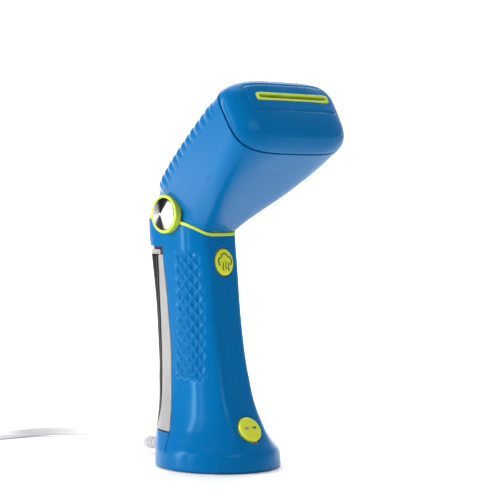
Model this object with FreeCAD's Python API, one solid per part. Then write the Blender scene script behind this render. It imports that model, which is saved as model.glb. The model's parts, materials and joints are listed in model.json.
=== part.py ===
import FreeCAD, Part
import math
import os
from FreeCAD import Vector, Rotation, Matrix

# Foldable-head handheld garment steamer, millimetres.
# Origin: centre of the round foot, on the surface it stands on.
# +Z up, -Y towards the nozzle and the buttons, +Y towards the tank and the cord.

# ---------------------------------------------------------------- driving sizes
WALL = 2.2                      # moulded wall thickness of the blue shells
FOOT_R = 44.0                   # radius of the round foot
SHELL_BOTTOM = 0.7              # the rubber pads lift the shell off the table
RING_POINTS = 36                # points that draw one cross-section

# Handle rails, as (height, value)
FRONT_Y = [(0, -44), (11.5, -42.8), (19, -38), (28, -32.2), (41, -24.6), (52, -19.8),
           (70, -14.7), (99.5, -9.2), (136, -4.2), (160, -0.1), (180, 3.2)]
REAR_Y = [(0, 44), (11.5, 44.6), (28, 45.6), (56, 46.2), (71, 46.9), (86, 48.4),
          (113, 51.3), (141, 56.2), (165, 60.0), (180, 60.2)]
SIDE_X = [(0, 44), (11.5, 43.2), (20, 38.5), (28, 33), (41, 26.8), (52, 24.6),
          (70, 23.2), (100, 22.8), (180, 23)]
FACET_X = [(11.5, 17), (28, 17), (41, 15.6), (52, 14.8), (86, 13.4), (115, 13.2),
           (149, 13.9), (160, 14.5), (180, 15.5)]
ROUNDNESS = [(11.5, 1), (20, 0.8), (28, 0.55), (41, 0.25), (60, 0)]
FACET_SLANT = 58.0              # turn of the slanted faces beside the front facet, degrees
REAR_POWER, FRONT_POWER = 4.0, 16.0

# Parting line between handle and head: a curve in the YZ plane
TRIM_REAR_Z = 171.6
TRIM_DROP = 11.6
TRIM_FADE = 16.0
TRIM_THICK = 2.5
TRIM_PROUD = 0.35
HEAD_GAP = 0.4                  # between the trim and the head

# Hinge
HINGE_Y, HINGE_Z = 30.7, 174.6
KNUCKLE_R = 27.5
KNUCKLE_HALF = 20.4
KNUCKLE_POWER = 3.6
KNUCKLE_GAP = 0.5
EAR_R = 13.5
EAR_INNER_X, EAR_FLOOR_X, EAR_RIM_X = 22.4, 25.8, 27.2
CAP_R = 11.2
CAP_DOME = 2.4
PIN_R = 5.0
PIN_INNER_X = 15.4
WASHER_INNER_X, WASHER_THICK, WASHER_R = 20.75, 1.5, 10.5
WEB_INNER_X, WEB_OUTER_X, WEB_R = 15.6, 17.8, 20.5
BARREL_OPENING = (-115, -14)     # degrees about the hinge where hoses and leads pass
RUNNING_GAP = 0.05

# Head
HEAD_TILT = 32.0                # how far the nozzle faces above level, degrees
SEAM_Y, SEAM_Z = -58.3, 239.0   # centre of the seam between head and nozzle cap
SEAM_HALF_X, SEAM_HALF_T = 52.5, 26.8
FAN_START, FAN_END = 21.5, 54.5
FAN_SHARE = 0.125
FRONT_REACH = 33.0
HEAD_SIDE = [(0, 20.4), (0.05, 20.6), (0.14, 24.8), (0.5, 38.5), (1, SEAM_HALF_X)]
HEAD_FACET = [(0, 14.6), (0.12, 18), (0.5, 40), (1, 85)]
HEAD_LEAN = [(0, 6.4), (0.15, 0), (1, 0)]
HEAD_BACK_POWER = [(0, KNUCKLE_POWER), (0.3, 4.7), (1, 4.0)]
HEAD_FRONT_POWER = [(0, 14), (0.3, 9), (1, 4.0)]

# Nozzle cap and steam slot, measured from the seam plane
CAP_DEPTH = 16.6
SLOT_T = 7.7
SLOT_HALF_X, SLOT_HALF_T = 31.0, 1.3
LINER_WALL = 1.9

# Tank
TANK_FRONT = [(12, 23), (24.9, 26.3), (53.8, 24.7), (86.7, 26.9), (102.7, 28.9),
              (118.7, 31.1), (134.6, 34.5), (141, 36.8), (152, 39.5), (172, 40.5)]
TANK_LOW, TANK_HIGH = 24.6, 149.6
BAY_FLOOR, BAY_CEILING = 24.2, 151.6
TANK_WALL = 1.8
TANK_GAP = 0.35
VALVE_Z = 36.0
FILL_Z, FILL_Y = 132.0, 54.5     # middle of the filling hole in the tank's rear wall
CATCH_LOW = 149.0               # underside of the pressed pad; the recess below it is CATCH_SINK deep
CATCH_SINK = 1.8

# Buttons: (centre y, centre z, tilt above level, half width, half height)
STEAM_BUTTON = (-3.35, 142.0, 9.0, 8.0, 9.4)
POWER_BUTTON = (-32.1, 28.5, 33.0, 9.3, 9.3)

# Mains cord: the points of its route, then a neat round coil
CORD_R = 3.5
RELIEF_START = (0, 44.8, 9.2)
CORD_ROUTE = [(2.5, 79.5, 7.4), (8, 101, 6.9), (14, 123, 6.4), (16.5, 146, 5.8),
              (13, 166, 5.0), (1, 183, 4.2), (-18, 192.5, 3.7), (-31, 194, 3.6),
              (-47, 194, 3.6), (-64, 201, 3.6), (-77, 214, 3.6), (-84, 231, 3.6), (-84, 286, 3.6)]
COIL_CENTRE = (-35.0, 299.0)
COIL_MIDDLE_R = 38.2
COIL_COLUMNS = 4
COIL_PITCH_R = 7.2
COIL_HALF_WIDTH = (COIL_COLUMNS - 1) * COIL_PITCH_R / 2 + CORD_R
COIL_BOTTOM, COIL_TOP = 0.1, 10.0
TAIL_ROUTE = [(-21, 250, 9.0), (-42.6, 250, 11.5), (-56.5, 255.8, 13.0), (-67.2, 266.5, 14.2),
              (-73, 280.4, 15.6), (-73, 295.5, 17.3)]
PLUG_START = (-73.0, 295.5, 17.3)


# ---------------------------------------------------------------- shape helpers
def curve(table, at):
    """Smooth, overshoot-free curve through (position, value) pairs."""
    xs = [pair[0] for pair in table]
    ys = [pair[1] for pair in table]
    if at <= xs[0]:
        return ys[0]
    if at >= xs[-1]:
        return ys[-1]
    steps = [(ys[k + 1] - ys[k]) / (xs[k + 1] - xs[k]) for k in range(len(xs) - 1)]

    def slope(k):
        if k == 0:
            return steps[0]
        if k == len(xs) - 1:
            return steps[-1]
        if steps[k - 1] * steps[k] <= 0:
            return 0
        before, after = xs[k] - xs[k - 1], xs[k + 1] - xs[k]
        weights = (2 * after + before) / steps[k - 1] + (after + 2 * before) / steps[k]
        return 3 * (before + after) / weights

    i = max(k for k in range(len(xs) - 1) if xs[k] <= at)
    width = xs[i + 1] - xs[i]
    t = (at - xs[i]) / width
    rise = (3 * t**2 - 2 * t**3)
    return (ys[i] * (1 - rise) + ys[i + 1] * rise
            + (t**3 - 2 * t**2 + t) * width * slope(i) + (t**3 - t**2) * width * slope(i + 1))


def smooth(x):
    x = min(1, max(0, x))
    return x * x * (3 - 2 * x)


def soft_polygon(angle, faces, power):
    """Radius of a rounded polygon whose faces are (direction in degrees, distance)."""
    total = 0
    for direction, distance in faces:
        share = math.cos(angle - math.radians(direction)) / distance
        if share > 0:
            total += share**power
    return total**(-1 / power)


def handle_point(z, angle, inset=0):
    front, rear = curve(FRONT_Y, z), curve(REAR_Y, z)
    side, facet, roundness = curve(SIDE_X, z), curve(FACET_X, z), curve(ROUNDNESS, z)
    half, middle = (rear - front) / 2, (rear + front) / 2
    slant = math.radians(FACET_SLANT)
    slant_at = math.sin(slant) * facet + math.cos(slant) * half
    power = REAR_POWER + (FRONT_POWER - REAR_POWER) * smooth(0.5 - 1.2 * math.sin(angle))
    faces = [(0, side), (180, side), (90, half), (-90, half),
             (-90 + FACET_SLANT, slant_at), (-90 - FACET_SLANT, slant_at)]
    square = soft_polygon(angle, faces, power)
    oval = 1 / math.hypot(math.cos(angle) / side, math.sin(angle) / half)
    radius = (1 - roundness) * square + roundness * oval - inset
    return Vector(radius * math.cos(angle), middle + radius * math.sin(angle), z)


def around_hinge(radius, degrees):
    a = math.radians(degrees)
    return (HINGE_Y + radius * math.cos(a), HINGE_Z + radius * math.sin(a))


def head_axes():
    a = math.radians(HEAD_TILT)
    return (math.sin(a), math.cos(a)), (-math.cos(a), math.sin(a))


def head_place(x, t, s):
    """A point x across, t up the nozzle face and s out of the seam plane."""
    up, out = head_axes()
    return Vector(x, SEAM_Y + t * up[0] + s * out[0], SEAM_Z + t * up[1] + s * out[1])


def mix(a, b, share):
    return tuple(p + (q - p) * share for p, q in zip(a, b))


def head_rails(share):
    """Front and back rail of the head, from the hinge (0) to the nozzle seam (1)."""
    low = head_place(0, -SEAM_HALF_T, 0)
    high = head_place(0, SEAM_HALF_T, 0)
    front = mix(around_hinge(-FRONT_REACH, FAN_START), (low.y, low.z), share)
    if share < FAN_SHARE:
        back = around_hinge(KNUCKLE_R, FAN_START + (FAN_END - FAN_START) * share / FAN_SHARE)
    else:
        back = mix(around_hinge(KNUCKLE_R, FAN_END), (high.y, high.z),
                   (share - FAN_SHARE) / (1 - FAN_SHARE))
    return front, back


def head_point(share, angle, inset=0):
    front, back = head_rails(share)
    chord = math.dist(front, back)
    split = 0.545 - 0.045 * share
    centre = mix(front, back, split)
    to_front, to_back = chord * split, chord * (1 - split)
    side, facet, lean = curve(HEAD_SIDE, share), curve(HEAD_FACET, share), curve(HEAD_LEAN, share)
    slant = math.radians(FACET_SLANT)
    slant_at = math.sin(slant) * facet + math.cos(slant) * to_front
    back_power, front_power = curve(HEAD_BACK_POWER, share), curve(HEAD_FRONT_POWER, share)
    power = back_power + (front_power - back_power) * smooth(0.5 - 1.2 * math.sin(angle))
    faces = [(lean, side), (180 - lean, side), (90, to_back), (-90, to_front),
             (-90 + FACET_SLANT, slant_at), (-90 - FACET_SLANT, slant_at)]
    radius = soft_polygon(angle, faces, power) - inset
    up = ((back[0] - front[0]) / chord, (back[1] - front[1]) / chord)
    lift = radius * math.sin(angle)
    return Vector(radius * math.cos(angle), centre[0] + lift * up[0], centre[1] + lift * up[1])


def ring_wire(points):
    spline = Part.BSplineCurve()
    spline.interpolate(points, PeriodicFlag=True)
    return Part.Wire([spline.toShape()])


def angles(count=RING_POINTS):
    return [2 * math.pi * k / count for k in range(count)]


def loft(rings):
    return Part.makeLoft([ring_wire(points) for points in rings], True, False)


def box(x0, x1, y0, y1, z0, z1):
    return Part.makeBox(x1 - x0, y1 - y0, z1 - z0, Vector(x0, y0, z0))


def rod(start, direction, radius, length):
    return Part.makeCylinder(radius, length, Vector(*start), Vector(*direction))


def tube(start, direction, outer, inner, length):
    return rod(start, direction, outer, length).cut(rod(start, direction, inner, length))


def extrude_x(yz_points, x0, x1):
    points = [Vector(x0, y, z) for y, z in yz_points]
    face = Part.Face(Part.makePolygon(points + points[:1]))
    return face.extrude(Vector(x1 - x0, 0, 0))


def bent_path(points):
    """Straight runs joined by tangent arcs, each as large as its runs allow."""
    p = [Vector(*q) for q in points]
    edges, at, radii = [], p[0], []
    for before, corner, after in zip(p, p[1:], p[2:]):
        come, go = (corner - before), (after - corner)
        turn = come.getAngle(go)
        trim = 0.48 * min(come.Length, go.Length)
        radii.append(trim / math.tan(turn / 2))
        come.normalize()
        go.normalize()
        start, end = corner - come * trim, corner + go * trim
        inward = (go - come).normalize()
        sagitta = radii[-1] * (1 / math.cos(turn / 2) - 1)
        edges.append(Part.LineSegment(at, start).toShape())
        edges.append(Part.Arc(start, corner + inward * sagitta, end).toShape())
        at = end
    edges.append(Part.LineSegment(at, p[-1]).toShape())
    return Part.Wire(edges), radii


def pipe(points, radius, label=None, bore=0):
    path, radii = bent_path(points)
    start, way = Vector(*points[0]), Vector(*points[1]) - Vector(*points[0])

    def swept(r):
        profile = Part.Wire([Part.makeCircle(r, start, way)])
        return path.makePipeShell([profile], True, False)

    solid = swept(radius)
    if bore:
        solid = solid.cut(swept(bore))
    if label:
        expected = math.pi * radius**2 * path.Length
        print(label, "length", round(path.Length, 1), "radii", [round(r, 1) for r in radii],
              "volume ratio", round(solid.Volume / expected, 4))
    return solid


def spring(base, axis, radius, wire, length, turns):
    """Compression spring standing on base along axis."""
    helix = Part.makeHelix((length - wire) / turns, length - wire, radius)
    profile = Part.Wire([Part.makeCircle(wire / 2, Vector(radius, 0, 0), Vector(0, 1, 0))])
    coil = Part.Wire(helix).makePipeShell([profile], True, True)
    coil.translate(Vector(0, 0, wire / 2))
    coil.Placement = FreeCAD.Placement(Vector(*base), Rotation(Vector(0, 0, 1), Vector(*axis))) \
        .multiply(coil.Placement)
    return coil


def fuse(shapes):
    result = shapes[0]
    for shape in shapes[1:]:
        result = result.fuse(shape)
    return result.removeSplitter()


os.makedirs("parts", exist_ok=True)
built = {}


def save(name, shape):
    solids = [s for s in shape.Solids if s.Volume > 0.5]
    shape = solids[0] if len(solids) == 1 else Part.makeCompound(solids)
    if not shape.isValid():
        print("INVALID", name)
    built[name] = shape
    shape.exportStep("parts/" + name + ".step")
    size = shape.BoundBox
    print(f"{name:22s} solids {len(solids)} volume {shape.Volume:10.1f}"
          f"  x {size.XMin:7.1f} {size.XMax:7.1f}  y {size.YMin:7.1f} {size.YMax:7.1f}"
          f"  z {size.ZMin:7.1f} {size.ZMax:7.1f}")


# ---------------------------------------------------------------- shared bodies
HANDLE_LEVELS = [SHELL_BOTTOM, 11.5, 16, 22, 30, 41, 55, 75, 100, 130, 155, 178]


def handle_body(inset=0, levels=HANDLE_LEVELS):
    return loft([[handle_point(z, a, inset) for a in angles()] for z in levels])


def trim_z(y):
    return TRIM_REAR_Z - TRIM_DROP * math.exp(-y / TRIM_FADE)


def under_trim(lift=0):
    """Everything below the parting curve, lifted by a given height."""
    ys = [-14, -9, -5, -2, 1, 4, 8, 12, 17, 23, 30, 40, 52, 70]
    line = [Vector(-70, y, trim_z(y) + lift) for y in ys]
    top = Part.BSplineCurve()
    top.interpolate(line)
    low = [Vector(-70, 70, -20), Vector(-70, -70, -20), Vector(-70, -70, line[0].z)]
    edges = [top.toShape()] + [Part.LineSegment(a, b).toShape()
                               for a, b in zip([line[-1]] + low, low + [line[0]])]
    return Part.Face(Part.Wire(edges)).extrude(Vector(140, 0, 0))


def behind_seam(shift=0, z0=-5, z1=200):
    """Everything behind the curved line where the rear shell and the tank begin."""
    levels = [-10] + [z for z, _ in TANK_FRONT] + [210]
    line = [Vector(-70, curve(TANK_FRONT, z) + shift, z) for z in levels]
    seam = Part.BSplineCurve()
    seam.interpolate(line)
    corners = [line[-1], Vector(-70, 90, 210), Vector(-70, 90, -10), line[0]]
    edges = [seam.toShape()] + [Part.LineSegment(a, b).toShape() for a, b in zip(corners, corners[1:])]
    zone = Part.Face(Part.Wire(edges)).extrude(Vector(140, 0, 0))
    return zone.common(box(-70, 70, -10, 90, z0, z1))


def knuckle_solid(grow=0):
    """Barrel of revolution about the hinge axis, so it turns inside its own envelope."""
    half, radius = KNUCKLE_HALF + grow, KNUCKLE_R + grow
    steps = 12
    side = []
    for k in range(-steps, steps + 1):
        a = math.pi / 2 * k / steps
        across = math.copysign(abs(math.sin(a))**(2 / KNUCKLE_POWER), a)
        side.append(Vector(half * across, radius * math.cos(a)**(2 / KNUCKLE_POWER), 0))
    outline = Part.BSplineCurve()
    outline.interpolate(side[1:-1])
    ends = [Vector(side[1].x, 0, 0), Vector(side[-2].x, 0, 0)]
    wire = Part.Wire([Part.LineSegment(ends[0], side[1]).toShape(), outline.toShape(),
                      Part.LineSegment(side[-2], ends[1]).toShape(),
                      Part.LineSegment(ends[1], ends[0]).toShape()])
    solid = Part.Face(wire).revolve(Vector(0, 0, 0), Vector(1, 0, 0), 360)
    solid.translate(Vector(0, HINGE_Y, HINGE_Z))
    return solid


def hinge_sector(start, end, radius=60, half=40):
    """Wedge about the hinge axis, between two angles counted from +Y towards +Z."""
    disc = Part.makeCylinder(radius, 2 * half, Vector(-half, HINGE_Y, HINGE_Z), Vector(1, 0, 0))
    points = [(HINGE_Y, HINGE_Z)]
    steps = max(2, int((end - start) / 30) + 1)
    for k in range(steps + 1):
        points.append(around_hinge(2 * radius, start + (end - start) * k / steps))
    return disc.common(extrude_x(points, -half, half))


outer = handle_body()
inner = handle_body(WALL, [-1] + HANDLE_LEVELS[1:])
knuckle_room = knuckle_solid(KNUCKLE_GAP)
below = under_trim()


def in_button_frame(shape, button):
    """Move a shape drawn about the origin, +Z outwards, onto a button's face."""
    y, z, tilt = button[:3]
    turn = Rotation(Vector(1, 0, 0), 90 - tilt)
    placed = shape.copy()
    placed.Placement = FreeCAD.Placement(Vector(0, y, z), turn).multiply(placed.Placement)
    return placed


def oval(half_x, half_y, z0, z1):
    disc = Part.makeCylinder(1, z1 - z0, Vector(0, 0, z0))
    stretch = Matrix()
    stretch.A11, stretch.A22 = half_x, half_y
    return disc.transformGeometry(stretch)


# ---------------------------------------------------------------- handle shells
def washer_room(side):
    """Space for a friction washer between the pivot barrel and the ear."""
    start = (side * (WASHER_INNER_X - 0.45), HINGE_Y, HINGE_Z)
    return rod(start, (side, 0, 0), WASHER_R + 0.3, EAR_INNER_X - WASHER_INNER_X + 0.4)


def handle_shells():
    rear_zone = behind_seam()
    bay = behind_seam(0, BAY_FLOOR, BAY_CEILING)
    bay_box = behind_seam(-2.0, BAY_FLOOR - 2.0, BAY_CEILING + 2.0)
    hollow = outer.cut(inner).common(below).cut(knuckle_room)
    for side in (1, -1):
        ear_room = rod((side * (EAR_INNER_X - 0.1), HINGE_Y, HINGE_Z), (side, 0, 0), EAR_R + 0.2, 10)
        hollow = hollow.cut(ear_room).cut(washer_room(side))
    above_foot = box(-70, 70, -70, 80, 11.5, 200)
    rear_zone = rear_zone.common(above_foot)
    front = hollow.cut(rear_zone)
    bay_walls = outer.common(bay_box).cut(bay).cut(knuckle_room)
    rear = hollow.common(rear_zone).cut(bay).fuse(bay_walls.cut(outer.cut(inner)))
    rear = rear.common(rear_zone.fuse(inner)).cut(knuckle_room)

    bosses = [rod((x, y, 3.8), (0, 0, 1), 3.4, 30).common(inner) for x, y in SCREW_PLACES]
    drill = [rod((x, y, 0), (0, 0, 1), 1.5, 16) for x, y in SCREW_PLACES]
    front = fuse([front] + bosses)
    for hole in drill:
        front = front.cut(hole)
    for button, grow in ((STEAM_BUTTON, 1.1), (POWER_BUTTON, 1.1)):
        half_x, half_y = button[3], button[4]
        hole = oval(half_x + 0.35, half_y + 0.35, -12, 6)
        pocket = oval(half_x + grow + 0.4, half_y + grow + 0.4, -14, -2.6)
        front = front.cut(in_button_frame(hole, button)).cut(in_button_frame(pocket, button))
    gland_hole = rod((0, 36, RELIEF_START[2]), (0, 1, 0), 5.0, 12)
    seat_hole = rod((0, 15, VALVE_Z), (0, 1, 0), 7.1, 20)
    front = front.cut(gland_hole)
    rear = rear.cut(gland_hole).cut(seat_hole)
    return front, rear


SCREW_PLACES = [(28, 8), (-28, 8), (26, -12), (-26, -12)]
front_shell, rear_shell = handle_shells()
save("front_shell", front_shell)
save("rear_shell", rear_shell)


# ---------------------------------------------------------------- base
def base_plate():
    plate = rod((0, 0, 1.6), (0, 0, 1), 40.6, 2.0)
    for x, y in SCREW_PLACES:
        plate = plate.cut(rod((x, y, 0), (0, 0, 1), 1.7, 6))
        plate = plate.cut(rod((x, y, 1.0), (0, 0, 1), 3.2, 1.5))
    return plate


def screw(place, direction, length, head_r=2.9, head_h=1.3, shank_r=1.45):
    return fuse([rod(place, direction, head_r, head_h), rod(place, direction, shank_r, length)])


save("base_plate", base_plate())
PAD_PLACES = [(x, y) for x in (-22, 22) for y in (-27, 27)]
PAD_R, PAD_THICK, MIDDLE_PAD_R = 5.5, 1.6, 19.0
pads = [rod((x, y, 0), (0, 0, 1), PAD_R, PAD_THICK) for x, y in PAD_PLACES]
pads.append(rod((0, 0, 0), (0, 0, 1), MIDDLE_PAD_R, PAD_THICK))
save("foot_pads", Part.makeCompound(pads))
save("base_screws", Part.makeCompound([screw((x, y, 1.15), (0, 0, 1), 13) for x, y in SCREW_PLACES]))


# ---------------------------------------------------------------- hinge
def hinge_trim():
    skin = handle_body(-TRIM_PROUD, [130, 140, 154, 166, 178])
    core = handle_body(WALL + 0.8, [120, 140, 154, 166, 190])
    band = skin.cut(core).common(under_trim(TRIM_THICK)).cut(below).cut(knuckle_room)
    pieces = [band.cut(washer_room(1)).cut(washer_room(-1))]
    for side in (1, -1):
        start = (side * EAR_INNER_X, HINGE_Y, HINGE_Z)
        disc = rod(start, (side, 0, 0), EAR_R, EAR_RIM_X - EAR_INNER_X)
        floor = (side * EAR_FLOOR_X, HINGE_Y, HINGE_Z)
        pieces.append(disc.cut(rod(floor, (side, 0, 0), CAP_R + 0.1, 5)))
    trim = fuse(pieces)
    return trim.cut(rod((-30, HINGE_Y, HINGE_Z), (1, 0, 0), PIN_R, 60))


def hinge_cap(side):
    start = EAR_FLOOR_X + 0.1
    rim = EAR_RIM_X + 0.1
    points = [(0, start), (CAP_R, start), (CAP_R, rim)]
    points += [(CAP_R - 0.5, rim + 0.35), (0, rim + 0.35 + CAP_DOME)]
    outline = [Vector(side * x, r, 0) for r, x in points]
    face = Part.Face(Part.makePolygon(outline + outline[:1]))
    solid = face.revolve(Vector(0, 0, 0), Vector(1, 0, 0), 360)
    solid.translate(Vector(0, HINGE_Y, HINGE_Z))
    return solid


save("hinge_trim", hinge_trim())
for name, side in (("left", -1), ("right", 1)):
    save("hinge_cap_" + name, hinge_cap(side))
    at = (side * PIN_INNER_X, HINGE_Y, HINGE_Z)
    save("pivot_pin_" + name, rod(at, (side, 0, 0), PIN_R, EAR_FLOOR_X - PIN_INNER_X))
save("friction_washers", Part.makeCompound([
    tube((side * WASHER_INNER_X, HINGE_Y, HINGE_Z), (side, 0, 0), WASHER_R, PIN_R + 0.15, WASHER_THICK)
    for side in (-1, 1)]))


# ---------------------------------------------------------------- head
HEAD_STATIONS = [0, 0.025, 0.05, 0.075, 0.1, 0.125, 0.16, 0.21, 0.28, 0.38, 0.5, 0.62, 0.75, 0.88, 1]


def head_body(inset=0):
    return loft([[head_point(s, a, inset) for a in angles()] for s in HEAD_STATIONS])


def fan_plane(sign):
    """Half space on one side of the plane through the hinge where the head's loft starts."""
    ends = [around_hinge(90, FAN_START), around_hinge(90, FAN_START + 180)]
    far = [around_hinge(130, FAN_START + sign * 45),
           around_hinge(130, FAN_START + sign * 135)]
    return extrude_x([ends[0], far[0], far[1], ends[1]], -40, 40)


def head_shell():
    over_trim = box(-70, 70, -120, 90, 120, 300).cut(under_trim(TRIM_THICK + HEAD_GAP))
    shell = head_body().cut(head_body(WALL)).common(over_trim)
    for side in (1, -1):
        ear_room = rod((side * 20.6, HINGE_Y, HINGE_Z), (side, 0, 0), EAR_R + 0.4, 12)
        shell = shell.cut(ear_room)
        shell = shell.cut(rod((side * 15, HINGE_Y, HINGE_Z), (side, 0, 0), PIN_R + RUNNING_GAP, 12))
    return shell


def pivot_barrel():
    """The half barrel under the head that turns inside the top of the handle."""
    wall = knuckle_solid(-0.05).cut(knuckle_solid(-WALL))
    half = wall.common(fan_plane(-1)).cut(hinge_sector(BARREL_OPENING[0], BARREL_OPENING[1]))
    pieces = [half]
    for side in (1, -1):
        start = (side * WEB_INNER_X, HINGE_Y, HINGE_Z)
        pieces.append(rod(start, (side, 0, 0), WEB_R, WEB_OUTER_X - WEB_INNER_X))
        thick = rod(start, (side, 0, 0), WEB_R - 2, KNUCKLE_HALF - WALL + 0.6 - WEB_INNER_X)
        pieces.append(thick.common(fan_plane(-1)).cut(hinge_sector(*BARREL_OPENING)))
    barrel = fuse(pieces)
    for side in (1, -1):
        barrel = barrel.cut(rod((side * 12, HINGE_Y, HINGE_Z), (side, 0, 0), PIN_R + RUNNING_GAP, 12))
    return barrel


def seam_ring(scale, height, inset=0):
    """One ring of the nozzle cap, shrunk about the slot."""
    ring = []
    for a in angles():
        edge = head_point(1, a, inset)
        centre = head_place(0, SLOT_T, 0)
        shift = (edge - centre) * scale
        ring.append(head_place(0, SLOT_T, height) + shift)
    return ring


def cap_height(scale):
    return CAP_DEPTH * (1 - scale**4.5)**0.55


def cap_body(inset=0, start=0.0):
    scales = [1, 0.985, 0.96, 0.92, 0.86, 0.78, 0.66, 0.5, 0.3, 0.08]
    ratio = (CAP_DEPTH - inset) / CAP_DEPTH
    rings = [seam_ring(s, start + (cap_height(s) * ratio if k else 0), inset)
             for k, s in enumerate(scales)]
    return loft(rings)


def slot_bar(half_x, half_t, s0, s1):
    """A rounded bar along the steam slot, from s0 to s1."""
    mid = box(-half_x + half_t, half_x - half_t, -half_t, half_t, s0, s1)
    ends = [rod((side * (half_x - half_t), 0, s0), (0, 0, 1), half_t, s1 - s0) for side in (1, -1)]
    return in_head_frame(fuse([mid] + ends), SLOT_T)


def in_head_frame(shape, t=0, s=0):
    """Move a shape drawn with +Y up the nozzle face and +Z out of it."""
    placed = shape.copy()
    turn = Rotation(Vector(1, 0, 0), 90 - HEAD_TILT)
    placed.Placement = FreeCAD.Placement(head_place(0, t, s), turn).multiply(placed.Placement)
    return placed


save("head_shell", head_shell())
save("pivot_barrel", pivot_barrel().cut(built["head_shell"]))
cap_shell = cap_body(0, 0.5).cut(cap_body(WALL, 0.4))
cap_shell = cap_shell.cut(slot_bar(SLOT_HALF_X + LINER_WALL + 0.05, SLOT_HALF_T + LINER_WALL + 0.05, 5, 25))
save("nozzle_cap", cap_shell)
liner = slot_bar(SLOT_HALF_X + LINER_WALL, SLOT_HALF_T + LINER_WALL, 11.6, CAP_DEPTH + 0.9)
save("nozzle_liner", liner.cut(slot_bar(SLOT_HALF_X, SLOT_HALF_T, 5, 25)))

BOILER = dict(x=29.0, low=-12.0, high=8.0, back=-62.0, front=-20.0)


def head_box(x0, x1, t0, t1, s0, s1):
    return in_head_frame(box(x0, x1, t0, t1, s0, s1))


def heater():
    """U-shaped sheathed element cast into the boiler."""
    legs = [rod((side * 14, -5, -72), (0, 0, 1), 3.2, 34) for side in (1, -1)]
    bend = Part.makeTorus(14, 3.2, Vector(0, -5, -38), Vector(0, 1, 0))
    bend = bend.common(box(-30, 30, -30, 30, -38, 0))
    return in_head_frame(fuse(legs + [bend]))


def boiler():
    b = BOILER
    block = head_box(-b["x"], b["x"], b["low"], b["high"], b["back"], b["front"])
    chamber = head_box(-b["x"] + 4, b["x"] - 4, 0, b["high"] + 1, b["back"] + 4, b["front"] - 4)
    port = in_head_frame(rod((0, 4, -30), (0, 0, 1), 3.6, 20))
    inlet = in_head_frame(rod((0, 4, -70), (0, 0, 1), 2.0, 20))
    return block.cut(chamber).cut(port).cut(inlet).cut(heater())


save("boiler_body", boiler())
b = BOILER
gasket_box = head_box(-b["x"], b["x"], b["high"], b["high"] + 0.8, b["back"], b["front"])
gasket_window = head_box(-b["x"] + 4, b["x"] - 4, 0, 20, b["back"] + 4, b["front"] - 4)
save("boiler_gasket", gasket_box.cut(gasket_window))
save("boiler_lid", head_box(-b["x"], b["x"], b["high"] + 0.8, b["high"] + 3.0, b["back"], b["front"]))
save("heater_element", heater())
LID_TOP = BOILER["high"] + 3.0
save("thermostat", in_head_frame(rod((12, LID_TOP, -42), (0, 1, 0), 7.5, 4.5)))
save("thermal_fuse", in_head_frame(rod((-20, LID_TOP + 2.2, -42), (1, 0, 0), 2.1, 16)))


def steam_duct():
    """Flat funnel from the boiler's port to the slot."""
    def section(half_x, t0, t1, s):
        corners = [(-half_x, t0), (half_x, t0), (half_x, t1), (-half_x, t1)]
        points = [head_place(x, t, s) for x, t in corners]
        return Part.makePolygon(points + points[:1])
    start, end = BOILER["front"] + 0.1, 11.4
    outside = Part.makeLoft([section(9, -2, 10, start), section(33, 4.2, 11.2, end)], True, True)
    inside = Part.makeLoft([section(7.6, -0.6, 8.6, start), section(31.6, 5.6, 9.8, end)], True, True)
    return outside.cut(inside)


save("steam_duct", steam_duct())


# Water line across the hinge: a fixed union pin and a banjo ring that turns on it
union = rod((-9, HINGE_Y, HINGE_Z), (1, 0, 0), 4.6, 13)
save("hinge_union", union)
banjo = tube((-3, HINGE_Y, HINGE_Z), (1, 0, 0), 7.4, 4.6 + RUNNING_GAP, 6)
save("banjo_ring", banjo)
tube_start = around_hinge(7.45, 140)
tube_end = head_place(0, 4, BOILER["back"] - 0.1)
bend_point = head_place(0, 3, BOILER["back"] - 22)
save("boiler_feed", pipe([(0, *tube_start), tuple(bend_point), tuple(tube_end)], 2.4, bore=1.5)
     .cut(tube((-4, HINGE_Y, HINGE_Z), (1, 0, 0), 7.45, 0.1, 8)))


# ---------------------------------------------------------------- pump and water line in the handle
PUMP_Y = 5.0
save("pump_body", fuse([rod((0, PUMP_Y, 60), (0, 0, 1), 8.6, 30), rod((0, PUMP_Y, 55), (0, 0, 1), 2.0, 5),
                        rod((0, PUMP_Y, 90), (0, 0, 1), 2.0, 4)]))
coil = box(-12, 12, PUMP_Y - 11.5, PUMP_Y + 11.5, 64, 84)
save("pump_coil", coil.cut(rod((0, PUMP_Y, 50), (0, 0, 1), 8.7, 50)))
bracket = box(-12.4, 12.4, PUMP_Y - 12.5, PUMP_Y + 13, 61.4, 63.4)
bracket = bracket.fuse(box(-12.4, 12.4, PUMP_Y + 12.2, PUMP_Y + 13.6, 61.4, 88))
save("pump_bracket", bracket.cut(rod((0, PUMP_Y, 50), (0, 0, 1), 8.8, 50)).removeSplitter())
seat_y = curve(TANK_FRONT, VALVE_Z)
seat = fuse([rod((0, seat_y - 5.2, VALVE_Z), (0, 1, 0), 8.2, 2.3),
             rod((0, seat_y - 5.2, VALVE_Z), (0, 1, 0), 7.0, 4.5),
             rod((0, seat_y - 11.5, VALVE_Z), (0, 1, 0), 2.0, 6.5)])
seat = seat.cut(rod((0, seat_y - 3.6, VALVE_Z), (0, 1, 0), 5.9, 8))
save("tank_seat", seat.cut(rod((0, seat_y - 12, VALVE_Z), (0, 1, 0), 1.2, 12)))
save("seat_seal", tube((0, seat_y - 2.6, VALVE_Z), (0, 1, 0), 5.85, 5.05, 2.0))
HOSE_R, HOSE_BORE_R = 3.2, 2.05
inlet_route = [(0, seat_y - 6.6, VALVE_Z), (0, PUMP_Y, VALVE_Z), (0, PUMP_Y, 59.5)]
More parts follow.
